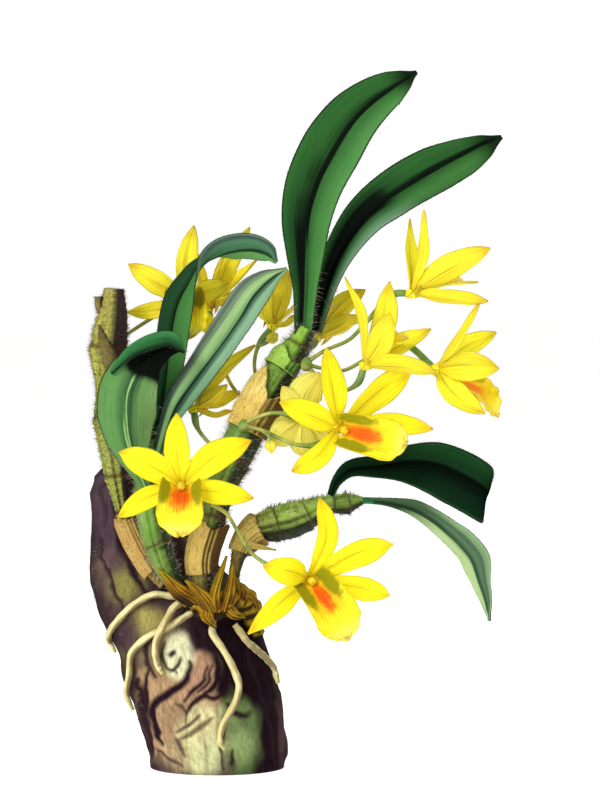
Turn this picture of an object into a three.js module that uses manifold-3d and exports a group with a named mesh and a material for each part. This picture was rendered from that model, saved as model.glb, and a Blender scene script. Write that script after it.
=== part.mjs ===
// A flowering yellow dendrobium orchid growing on a cut piece of branch that stands on its sawn foot.
// Millimetres, +Z up, the flowers turned towards -Y, the origin in the middle of the sawn foot.
import * as THREE from 'three';
import { mergeVertices } from 'three/addons/utils/BufferGeometryUtils.js';
import Module from 'manifold-3d';

// ---------------------------------------------------------------- driving dimensions
const CLEAR = 0.3; // air between two pieces that meet
const LEAF_THICK = 0.9;
const LEAF_STEP = 8.5; // length of a leaf between two rows of its mesh
const LEAF_COLUMNS = 4;
const TEPAL_THICK = 0.8;
const LIP_THICK = 0.75;
const SHEATH_THICK = 0.8;
const SHEATH_GAP = 0.55; // air between a cane and its sheath
const BRACT_THICK = 0.9;
const TEPAL_WIDTH = 9; // a full sepal or petal at its widest
const TEPAL_FOOT = 3; // and where it leaves the core
const CORE_RADIUS = 2.1; // where the five tepals of a bloom join
const TEPAL_SINK = 0.55; // share of the core's radius at which a tepal starts
const COLUMN_LENGTH = 5;
const COLUMN_RADIUS = 1.2;
const COLUMN_FOOT = 1.3; // radius of the column's foot, as a share of COLUMN_RADIUS
const PEDICEL_RADIUS = 0.65;
const BUD_RADIUS = 2;
const ROOT_RADIUS = 1.25;
const NODE_SWELL = 0.45; // how far a cane's node ring stands proud
const NODE_SHARPNESS = 55; // how narrow it is, as a share of the cane
const CANE_STEP = 6; // length of a cane between two rings of its mesh
const CANE_SIDES = 10;
const THIN_SIDES = 6; // round a root, stalk or column
const BARK_RELIEF = 0.7;
const LOG_SIDES = 24;
const KNOB_SIDES = 7;
const KNOB_BANDS = 5;
const TIP_WIDTH = 0.9; // blades end this wide, not in a knife edge
const FRILL_ALONG = 2.4; // radians of the frill per row of a blade
const FRILL_ACROSS = 9; // and across its whole width

const wasm = await Module();
wasm.setup();

const point = ([x, y, z]) => new THREE.Vector3(x, y, z);
const route = (points) => new THREE.CatmullRomCurve3(points.map(point), false, 'centripetal');
const TAU = 2 * Math.PI;

// A value that runs through the stops [[t, value], ...] in straight steps.
function along(stops, t) {
  let i = 1;
  while (i < stops.length - 1 && t > stops[i][0]) i += 1;
  const [[t0, v0], [t1, v1]] = [stops[i - 1], stops[i]];
  const k = THREE.MathUtils.clamp((t - t0) / (t1 - t0), 0, 1);
  return v0 + (v1 - v0) * k;
}

// Evenly spaced stops for a list of values.
const spread = (values) => values.map((v, i) => [i / (values.length - 1), v]);

// ---------------------------------------------------------------- solids
// A closed solid from points and triangles, turned to face outwards.
function solid(points, triangles) {
  const make = (tris) => new wasm.Manifold(new wasm.Mesh({
    numProp: 3,
    vertProperties: new Float32Array(points.flatMap((p) => [p.x, p.y, p.z])),
    triVerts: new Uint32Array(tris.flat()),
  }));
  const made = make(triangles);
  return made.volume() > 0 ? made : make(triangles.map(([a, b, c]) => [a, c, b]));
}

// A tube through closed rings of points, its two ends closed by fans.
function loft(rings) {
  const n = rings[0].length;
  const points = rings.flat();
  const triangles = [];
  for (let i = 0; i + 1 < rings.length; i += 1) {
    for (let j = 0; j < n; j += 1) {
      const [a, b] = [i * n + j, i * n + ((j + 1) % n)];
      triangles.push([a, b, b + n], [a, b + n, a + n]);
    }
  }
  const ends = [rings[0], rings[rings.length - 1]];
  ends.forEach((ring, k) => {
    const middle = new THREE.Vector3();
    ring.forEach((p) => middle.addScaledVector(p, 1 / n));
    const hub = points.push(middle) - 1;
    const first = k ? (rings.length - 1) * n : 0;
    for (let j = 0; j < n; j += 1) {
      const [a, b] = [first + j, first + ((j + 1) % n)];
      triangles.push(k ? [hub, a, b] : [hub, b, a]);
    }
  });
  return solid(points, triangles);
}

// A thin sheet: place(u, v) gives its middle point, normal and half thickness. Both faces are split alike.
function sheet(rows, columns, place) {
  const points = [];
  for (let i = 0; i <= rows; i += 1) {
    for (let j = 0; j <= columns; j += 1) {
      const { at, normal, half } = place(i / rows, j / columns);
      points.push(at.clone().addScaledVector(normal, half), at.clone().addScaledVector(normal, -half));
    }
  }
  const front = (i, j) => 2 * (i * (columns + 1) + j);
  const triangles = [];
  const quad = (a, b, c, d) => triangles.push([a, b, c], [a, c, d]);
  for (let i = 0; i < rows; i += 1) {
    for (let j = 0; j < columns; j += 1) {
      const [a, b, c, d] = [front(i, j), front(i, j + 1), front(i + 1, j + 1), front(i + 1, j)];
      quad(a, b, c, d);
      triangles.push([a + 1, c + 1, b + 1], [a + 1, d + 1, c + 1]);
    }
    const [l, m] = [front(i, 0), front(i + 1, 0)];
    quad(l, m, m + 1, l + 1);
    const [r, s] = [front(i, columns), front(i + 1, columns)];
    quad(s, r, r + 1, s + 1);
  }
  for (let j = 0; j < columns; j += 1) {
    const [a, b] = [front(0, j), front(0, j + 1)];
    quad(b, a, a + 1, b + 1);
    const [c, d] = [front(rows, j), front(rows, j + 1)];
    quad(c, d, d + 1, c + 1);
  }
  return solid(points, triangles);
}

// The frame of a curve at t: its point, its tangent, and the given direction squared up to the tangent.
function frameAt(curve, t, facing) {
  const at = curve.getPoint(t);
  const tangent = curve.getTangent(t);
  const normal = facing.clone().addScaledVector(tangent, -facing.dot(tangent)).normalize();
  const side = tangent.clone().cross(normal).normalize();
  return { at, tangent, normal, side };
}

// A leaf, tepal or bract: a strip along a curve, arched across its width, hollow towards its facing side.
function blade({ points, facings, widths, arch, thick, rows, columns, frill = 0 }, grow = 0) {
  const curve = route(points);
  const turned = facings.length > 1 ? route(facings) : null;
  const facingAt = (t) => (turned ? turned.getPoint(t) : point(facings[0]));
  return sheet(rows, columns, (t, u) => {
    const { at, tangent, normal, side } = frameAt(curve, t, facingAt(t));
    const overrun = t === 0 ? -grow : t === 1 ? grow : 0;
    const angle = along(arch, t);
    const width = along(widths, t) + 2 * grow;
    const radius = width / angle;
    const phi = (u - 0.5) * angle;
    const edge = Math.abs(2 * u - 1);
    const wave = frill * edge * edge * Math.sin(t * rows * FRILL_ALONG + u * FRILL_ACROSS);
    const middle = at.clone().addScaledVector(tangent, overrun)
      .addScaledVector(side, radius * Math.sin(phi))
      .addScaledVector(normal, radius * (1 - Math.cos(phi)) + wave);
    const across = normal.clone().multiplyScalar(Math.cos(phi)).addScaledVector(side, -Math.sin(phi));
    return { at: middle, normal: across, half: thick / 2 + grow };
  });
}

// Where the first side of a stem looks: away from the viewer.
const STEM_FACING = [0.2, 1, 0.1];

// A round stem along a curve, whose radius runs through the given values.
function stem({ points, radii, sides, rows, swell = () => 0 }, grow = 0) {
  const curve = route(points);
  const up = point(STEM_FACING).normalize();
  const rings = [];
  for (let i = 0; i <= rows; i += 1) {
    const t = i / rows;
    const { at, tangent, normal, side } = frameAt(curve, t, up);
    const radius = along(spread(radii), t) + swell(t) + grow;
    const overrun = i === 0 ? -grow : i === rows ? grow : 0;
    rings.push(Array.from({ length: sides }, (_, j) => at.clone()
      .addScaledVector(tangent, overrun)
      .addScaledVector(normal, radius * Math.cos((j * TAU) / sides))
      .addScaledVector(side, radius * Math.sin((j * TAU) / sides))));
  }
  return loft(rings);
}

// A knob: a sphere stretched to the given half sizes.
function knob([x, y, z], [a, b, c], grow = 0) {
  const ball = new THREE.SphereGeometry(1, KNOB_SIDES, KNOB_BANDS);
  ball.deleteAttribute('normal');
  ball.deleteAttribute('uv');
  ball.scale(a + grow, b + grow, c + grow).translate(x, y, z);
  const merged = mergeVertices(ball);
  const places = merged.getAttribute('position');
  const placeAt = (i) => new THREE.Vector3().fromBufferAttribute(places, i);
  const points = Array.from({ length: places.count }, (_, i) => placeAt(i));
  const triangles = [];
  for (let i = 0; i < merged.index.count; i += 3) {
    triangles.push([0, 1, 2].map((k) => merged.index.getX(i + k)));
  }
  return solid(points, triangles);
}

const fuse = (solids) => solids.reduce((all, next) => all.add(next));

// ---------------------------------------------------------------- the branch
// Sections of the branch: height, middle in X, half width in X, middle in Y, half depth in Y.
const LOG_SECTIONS = [
  [0, 0.3, 22.6, 0, 21.5], [8, -0.2, 24, 0, 22.5], [16, -1.8, 25, 0, 23], [25, -3.5, 25.8, 0, 23.5],
  [37, -7.2, 25.6, 0, 23.5], [45, -10.2, 26.2, 0.5, 23], [55, -14, 26.6, 2, 22], [62, -17.8, 24.6, 3, 19.5],
  [68, -21, 21.8, 4, 17], [79, -24.7, 17.2, 5.5, 14.5], [92, -29, 14, 7, 12.5], [98, -30.7, 10.6, 7.5, 9.5],
  [101, -31.2, 7, 7.8, 6], [102.4, -31.4, 2.5, 8, 2],
];
const LOG_STEP = 5;

function logSection(z) {
  return [1, 2, 3, 4].map((k) => along(LOG_SECTIONS.map((row) => [row[0], row[k]]), z));
}

// Bark relief: slanting swirls and knuckles, none on the sawn foot. Lobes are waves round the branch, rises
// are radians per millimetre of height, shares are of BARK_RELIEF.
const SWIRL = { lobes: 3, rise: 0.16, drift: 1.3, driftRise: 0.09, share: 0.7 };
const KNUCKLE = { lobes: 5, rise: -0.23, turn: 2, rowRise: 0.14, rowTurn: 1, share: 0.6 };
const FOOT_FADE = 6; // height over which the relief grows from the sawn foot

function bark(angle, z) {
  const fade = THREE.MathUtils.smoothstep(z, 0, FOOT_FADE);
  const drift = SWIRL.drift * Math.sin(z * SWIRL.driftRise + angle);
  const swirl = Math.sin(SWIRL.lobes * angle + z * SWIRL.rise + drift);
  const row = Math.sin(z * KNUCKLE.rowRise + KNUCKLE.rowTurn);
  const knuckle = Math.sin(KNUCKLE.lobes * angle + z * KNUCKLE.rise + KNUCKLE.turn) * row;
  return BARK_RELIEF * fade * (SWIRL.share * swirl + KNUCKLE.share * knuckle);
}

function branch(grow = 0) {
  const [shoulder, top] = LOG_SECTIONS.slice(-2).map(([z]) => z);
  const heights = [];
  for (let z = 0; z < shoulder; z += LOG_STEP) heights.push(z);
  heights.push(shoulder, top);
  return loft(heights.map((z, i) => {
    const [cx, hw, cy, hd] = logSection(z);
    const drop = i === 0 ? -grow : i === heights.length - 1 ? grow : 0;
    return Array.from({ length: LOG_SIDES }, (_, j) => {
      const angle = (j * TAU) / LOG_SIDES;
      const out = bark(angle, z) + grow;
      return new THREE.Vector3(
        cx + (hw + out) * Math.cos(angle),
        cy + (hd + out) * Math.sin(angle),
        z + drop,
      );
    });
  }));
}

// How near to its outline a place of the front view may be, as a share of the half width.
const RIM = 0.96;

// The point at the given height over the front of the bark, above a place of the front view.
function overBark(x, z, height) {
  const [cx, hw, cy, hd] = logSection(z);
  const across = THREE.MathUtils.clamp((x - cx) / hw, -RIM, RIM);
  const angle = -Math.acos(across);
  const out = bark(angle, z) + height;
  const normal = new THREE.Vector3(Math.cos(angle) * hd, Math.sin(angle) * hw, 0).normalize();
  const at = new THREE.Vector3(cx + hw * Math.cos(angle), cy + hd * Math.sin(angle), z);
  return at.addScaledVector(normal, out).toArray();
}

// Aerial roots creeping over the bark, as X and Z of the front view, from the rhizome to the tip. A third
// value lifts the root off the bark there, over another root.
const ROOTS = {
  root_far_left: [
    [-12.5, 59.3], [-20, 60.2], [-25.5, 57.6], [-30.5, 52.5], [-34, 46.5], [-35.6, 43.3], [-35.3, 39.4],
  ],
  root_left: [
    [-8, 54.5], [-11.5, 52.3], [-15.5, 49.3], [-21, 46.8], [-26.5, 41], [-28, 33], [-29.5, 25.5], [-29.2, 20],
  ],
  root_inner: [
    [-10.5, 58.7, 3], [-13.7, 56.5, 3.2], [-16.3, 51, 3.3], [-18.6, 44.3, 1.5], [-18.3, 37.5], [-16.8, 34.2],
  ],
  root_middle: [
    [-0.8, 51.8], [-1.2, 47.7], [2, 42.7], [5.6, 35.7], [7.3, 30.7], [6.2, 25], [2.3, 16.7], [1.7, 11.7],
    [3, 9],
  ],
  root_right: [[6, 50], [9.7, 44.3], [14, 40], [18.6, 34.6], [20.2, 29]],
};
const ROOT_TAPER = [0.9, 1.05, 1, 1.05, 1, 0.95, 0.9, 0.55]; // radius along a root, as shares of ROOT_RADIUS

function root(track, grow = 0) {
  const points = track.map(([x, z, lift = 0]) => overBark(x, z, ROOT_RADIUS + CLEAR + lift));
  const radii = ROOT_TAPER.map((share) => share * ROOT_RADIUS);
  return stem({ points, radii, sides: THIN_SIDES, rows: 2 * track.length }, grow);
}

// ---------------------------------------------------------------- canes
// Each cane: points of its middle line from its foot, radii there, and where its node rings are.
const CANES = {
  cane_main: {
    points: [
      [-2.3, -21, 57.3], [-4.4, -21.5, 71.7], [-1.6, -20.5, 83.3], [2.3, -18.5, 96.7], [7.7, -16.5, 109],
      [13.7, -15, 120.7], [20.7, -13, 132.3], [25.7, -11.5, 139.7], [30.8, -11.2, 148.6],
    ],
    radii: [3.2, 4.3, 4.4, 5.2, 6, 6.1, 5.4, 4.7, 3],
    rings: [0.27, 0.45, 0.62, 0.78, 0.92],
  },
  cane_side: {
    points: [
      [5.7, -20, 61.7], [7, -20, 70], [9.3, -19, 76.7], [14, -18, 81.7], [20, -17, 83.8], [25, -16.5, 85],
      [30, -16, 86.7], [34.3, -15.5, 88.8], [39, -15, 90.2], [43.3, -14.5, 90.3], [46.7, -14, 91],
      [49.3, -14, 91.3],
    ],
    radii: [1.7, 2, 3.1, 4.4, 5.7, 6, 5.2, 4, 3, 3.4, 2.5, 1.3],
    rings: [0.36, 0.55, 0.73, 0.84],
  },
  cane_old: {
    points: [
      [-16.9, -18.5, 63.3], [-21.7, -17, 69.5], [-26.7, -14.7, 78], [-30.3, -12.3, 86.7], [-31.5, -12, 94],
      [-32.8, -12, 104], [-35.3, -12, 116.7], [-36.7, -12, 128.3], [-35.7, -12, 141.7], [-34.3, -12, 153.3],
      [-33.7, -12, 162],
    ],
    radii: [1.8, 2.8, 2.9, 2.4, 3.4, 4.9, 5, 3.2, 6.2, 5, 3.2],
    rings: [0.3, 0.45, 0.62, 0.8],
  },
  cane_short: {
    points: [
      [-11, -22.5, 61.7], [-15.3, -23.8, 68.3], [-18.7, -22, 76.7], [-21, -18, 86.7], [-22.5, -15.5, 96.7],
      [-22, -15, 105], [-20, -15, 111.7],
    ],
    radii: [2.4, 3.6, 4.3, 5, 4.4, 3.8, 3],
    rings: [0.32, 0.62, 0.85],
  },
};

// The swollen ring of a node, as an addition to the radius.
function nodeRing(rings) {
  const swell = (t, ring) => NODE_SWELL * Math.exp(-(((t - ring) * NODE_SHARPNESS) ** 2));
  return (t) => rings.reduce((sum, ring) => sum + swell(t, ring), 0);
}

function cane({ points, radii, rings }, grow = 0) {
  const rows = Math.round(route(points).getLength() / CANE_STEP);
  return stem({ points, radii, sides: CANE_SIDES, rows, swell: nodeRing(rings) }, grow);
}

// The stub left of the old cane's top is part of that cane.
const STUB = {
  points: [[-35, -12.5, 152], [-38.3, -13, 156], [-38.6, -13, 159.5]],
  radii: [2, 1.7, 1.6],
  sides: THIN_SIDES,
  rows: 3,
};

function oldCane(grow = 0) {
  return cane(CANES.cane_old, grow).add(stem(STUB, grow));
}

// ---------------------------------------------------------------- papery sheaths
// A sheath wraps its cane between two shares of its length, over a span of angle about the front, from a
// turn of angle. Its upper rim is torn and flares out.
const SHEATHS = {
  sheath_main_low: { cane: 'cane_main', from: 0.09, to: 0.265, span: 5.2, turn: 0, tear: 0.012, flare: 0.5 },
  sheath_main_high: { cane: 'cane_main', from: 0.56, to: 0.755, span: 4.4, turn: -0.5, tear: 0.04, flare: 1 },
  sheath_main_green: { cane: 'cane_main', from: 0.785, to: 0.9, span: 3.4, turn: -1, tear: 0.03, flare: 0.8 },
  sheath_side: { cane: 'cane_side', from: 0.15, to: 0.29, span: 5, turn: 0.3, tear: 0.008, flare: 0.6 },
  sheath_old: { cane: 'cane_old', from: 0.07, to: 0.29, span: 3.8, turn: -0.9, tear: 0.012, flare: 0.7 },
};
const SHEATH_ROWS = 3;
const SHEATH_COLUMNS = 9;
const TEAR_WAVES = 3.1; // waves of the torn rim per radian
const SHEATH_OVERLAP = 0.1; // more span for what a sheath cuts out of its neighbours

function sheath({ cane: name, from, to, span, turn, tear, flare }, grow = 0) {
  const { points, radii, rings } = CANES[name];
  const curve = route(points);
  const front = new THREE.Vector3(0, -1, 0);
  return sheet(SHEATH_ROWS, SHEATH_COLUMNS, (v, u) => {
    const phi = (u - 0.5) * (span + (grow ? SHEATH_OVERLAP : 0)) + turn;
    const rim = to - tear * (1 + Math.sin(phi * TEAR_WAVES + 1));
    const t = from + (rim - from) * v;
    const { at, tangent, normal, side } = frameAt(curve, t, front);
    const out = normal.multiplyScalar(Math.cos(phi)).addScaledVector(side, Math.sin(phi));
    const lift = SHEATH_GAP + SHEATH_THICK / 2 + flare * v * v;
    const radius = along(spread(radii), t) + nodeRing(rings)(t) + lift;
    const overrun = v === 0 ? -grow : v === 1 ? grow : 0;
    const middle = at.clone().addScaledVector(out, radius).addScaledVector(tangent, overrun);
    return { at: middle, normal: out, half: SHEATH_THICK / 2 + grow };
  });
}

// ---------------------------------------------------------------- rhizome with its dry bracts
const RHIZOME = {
  points: [
    [-12, -20.5, 60], [-7, -22, 58.5], [-1.5, -22.5, 56.5], [4, -20.5, 57.5], [8, -17, 59.5],
    [11.5, -13.5, 55], [14, -9.5, 46],
  ],
  radii: [2.4, 3.3, 4.2, 4.2, 4.2, 3.8, 2.2],
  sides: 8,
  rows: 9,
};
// Dry pointed scales: middle line from the rhizome to the tip, and width.
const BRACTS = [
  { points: [[-6, -25, 57.5], [-12, -27.5, 62], [-18.5, -28, 69.5]], width: 6.5 },
  { points: [[-1, -26.5, 54.5], [-4, -28.3, 60], [-9.5, -28.5, 66]], width: 6 },
  { points: [[0.5, -26, 55], [0, -28, 61], [4, -27.3, 74]], width: 4 },
  { points: [[3, -24.5, 55], [5, -26, 62], [6, -26.5, 71]], width: 4.5 },
  { points: [[6, -20.5, 57], [8.5, -22, 61], [6.5, -24, 67]], width: 4 },
  { points: [[7, -20.5, 60], [11.5, -17.5, 57], [14.6, -12.5, 47]], width: 6 },
  { points: [[-3, -25, 57], [-2.5, -27.5, 53.5], [0.5, -26.5, 50]], width: 5 },
  { points: [[3.5, -23.5, 57], [6.5, -25, 54], [10, -23.5, 53]], width: 4.5 },
];
const BRACT_FACING = [0.1, 1, 0.3];
const BRACT_ARCH = [[0, 1.8], [1, 0.8]];

function bract({ points, width }, grow) {
  return blade({
    points,
    facings: [BRACT_FACING],
    widths: [[0, width], [0.4, width], [0.75, 0.6 * width], [1, TIP_WIDTH]],
    arch: BRACT_ARCH,
    thick: BRACT_THICK,
    rows: 3,
    columns: 2,
  }, grow);
}

function rhizome(grow = 0) {
  return fuse([stem(RHIZOME, grow), ...BRACTS.map((one) => bract(one, grow))]);
}

// ---------------------------------------------------------------- leaves
// Middle line, the side the hollow face looks at, and widths at even steps.
const LEAVES = {
  leaf_tall_left: {
    points: [
      [29.3, -12, 146.9], [30, -13, 161], [30, -13, 174.7], [30.3, -12.5, 185.3], [32.7, -12, 196.3],
      [38.3, -11, 208], [45, -10, 218], [51.7, -9, 224.3], [58.7, -8, 229], [63.7, -7, 232],
      [67.3, -6, 234.3],
    ],
    facings: [[0, -1, 0], [0.1, -1, 0.1], [0.2, -1, 0.15]],
    widths: [7, 8.8, 14, 17.5, 20, 21.2, 19, 15.8, 12, 6.5, TIP_WIDTH],
    arch: [[0, 2.2], [0.15, 1.3], [1, 0.7]],
  },
  leaf_tall_right: {
    points: [
      [33.5, -7, 147.3], [36.5, -6.5, 160], [41.5, -6, 173], [50, -5.5, 185.3], [61, -5, 193.5],
      [72, -4.2, 199.8], [82.5, -3.4, 205.2], [90.5, -2.6, 209.6], [96, -2, 212.6],
    ],
    facings: [[-0.3, -1, 0.2], [-0.25, -0.9, 0.35], [-0.3, -0.9, 0.4]],
    widths: [6.5, 9, 12, 15.4, 18, 18.8, 15.8, 9, TIP_WIDTH],
    arch: [[0, 2.2], [0.2, 1.5], [1, 0.7]],
  },
  leaf_arching: {
    points: [
      [-19, -14.5, 112.6], [-17.3, -14.5, 121.7], [-15.7, -14.5, 133.3], [-14.3, -14, 145], [-12, -13, 156.7],
      [-8.3, -12.5, 164.3], [-4, -13, 171], [2.3, -15.5, 174.5], [8.7, -18, 176], [13.7, -20, 175.7],
      [17.7, -21.5, 174], [20.5, -22.5, 171],
    ],
    facings: [
      [0.1, -1, 0], [0, -1, 0.1], [-0.1, -0.9, 0.3], [-0.6, -0.4, 0.7], [-0.1, 0.8, 0.55], [0, 0.95, 0.3],
      [0, 1, 0.2],
    ],
    widths: [5, 8, 10, 11.3, 11.3, 10.5, 10, 10.2, 10.4, 9.4, 6.5, TIP_WIDTH],
    arch: [[0, 2], [0.2, 1.1], [1, 0.8]],
  },
  leaf_long: {
    points: [
      [-19.3, -20.2, 105.5], [-17.2, -20.5, 112.5], [-14.3, -20.5, 121.3], [-11.7, -20.5, 126.3],
      [-6, -21, 134.7], [1.3, -21.5, 145], [7, -21.5, 153.3], [12.3, -21, 161], [17.7, -20, 165.7],
      [24, -18.5, 168.9],
    ],
    facings: [[0.3, 0.9, -0.2]],
    widths: [3.5, 5.5, 8, 9.8, 11.5, 13, 13.2, 12, 8, TIP_WIDTH],
    arch: [[0, 2], [0.2, 1.2], [1, 0.8]],
  },
  leaf_broad: {
    points: [
      [-23, -20.6, 96], [-27, -25.5, 107], [-28.7, -26.5, 115], [-29, -27, 121.3], [-28.6, -27, 127.7],
      [-26.5, -27, 133.3], [-22.5, -27.5, 138.5], [-16.5, -28, 141.8], [-10.5, -28.5, 142.5],
    ],
    facings: [[0, 1, 0]],
    widths: [4, 12, 17.8, 21, 20.8, 18.5, 13, 6.5, TIP_WIDTH],
    arch: [[0, 2.4], [0.2, 1.2], [1, 0.8]],
    fold: {
      points: [
        [-34, -26.5, 134.5], [-27.5, -29, 141], [-20, -30.5, 144.5], [-14.3, -30.5, 145.3],
        [-9.8, -30, 141.5],
      ],
      facings: [[0, -0.6, 0.8]],
      widths: [2, 6.5, 8.5, 8, TIP_WIDTH],
      arch: [[0, 1], [1, 0.8]],
    },
  },
  leaf_low_dark: {
    points: [
      [38.8, -20.2, 93.3], [40.8, -20, 98], [45, -20, 101.7], [55, -20.5, 102.5], [64.3, -21, 103.3],
      [73, -21.5, 102], [81, -21, 98.2], [87.6, -18, 94.2], [90.3, -10, 91.8], [90.4, -0.5, 90.5],
    ],
    facings: [
      [-0.6, -0.8, 0.3], [-0.3, -0.8, 0.55], [-0.1, -0.85, 0.5], [0, -0.85, 0.5], [0.15, -0.85, 0.4],
      [0.75, -0.55, -0.1], [1, -0.1, -0.35],
    ],
    widths: [3.4, 4.4, 6.5, 9.5, 15.5, 19.8, 20.8, 20, 14, 1.2],
    arch: [[0, 2.2], [0.2, 1.2], [1, 0.6]],
  },
  leaf_low_pale: {
    points: [
      [49.9, -14, 91.3], [55.7, -14.5, 90.9], [60.7, -15, 90], [66.7, -16, 88.3], [72.3, -17.5, 85.2],
      [77.3, -19, 81.3], [82, -20.5, 77], [85.7, -21.5, 72.3], [88.2, -22, 64.7], [90.3, -22, 58],
      [91.3, -21.5, 51.7],
    ],
    facings: [[0.1, 0.9, 0.3], [0.25, 0.9, 0.3], [0.35, 0.85, 0.2]],
    widths: [2.4, 3, 4.2, 6.4, 8, 9.8, 11.2, 11.2, 7.2, 4.2, TIP_WIDTH],
    arch: [[0, 1.6], [0.2, 1.4], [1, 0.9]],
  },
};

// A leaf whose top folds over has that part as a second blade.
function leaf({ points, facings, widths, arch, fold }, grow = 0) {
  const rows = Math.round(route(points).getLength() / LEAF_STEP);
  const form = { points, facings, widths: spread(widths), arch };
  const body = blade({ ...form, thick: LEAF_THICK, rows, columns: LEAF_COLUMNS }, grow);
  return fold ? fuse([body, leaf(fold, grow)]) : body;
}

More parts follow.
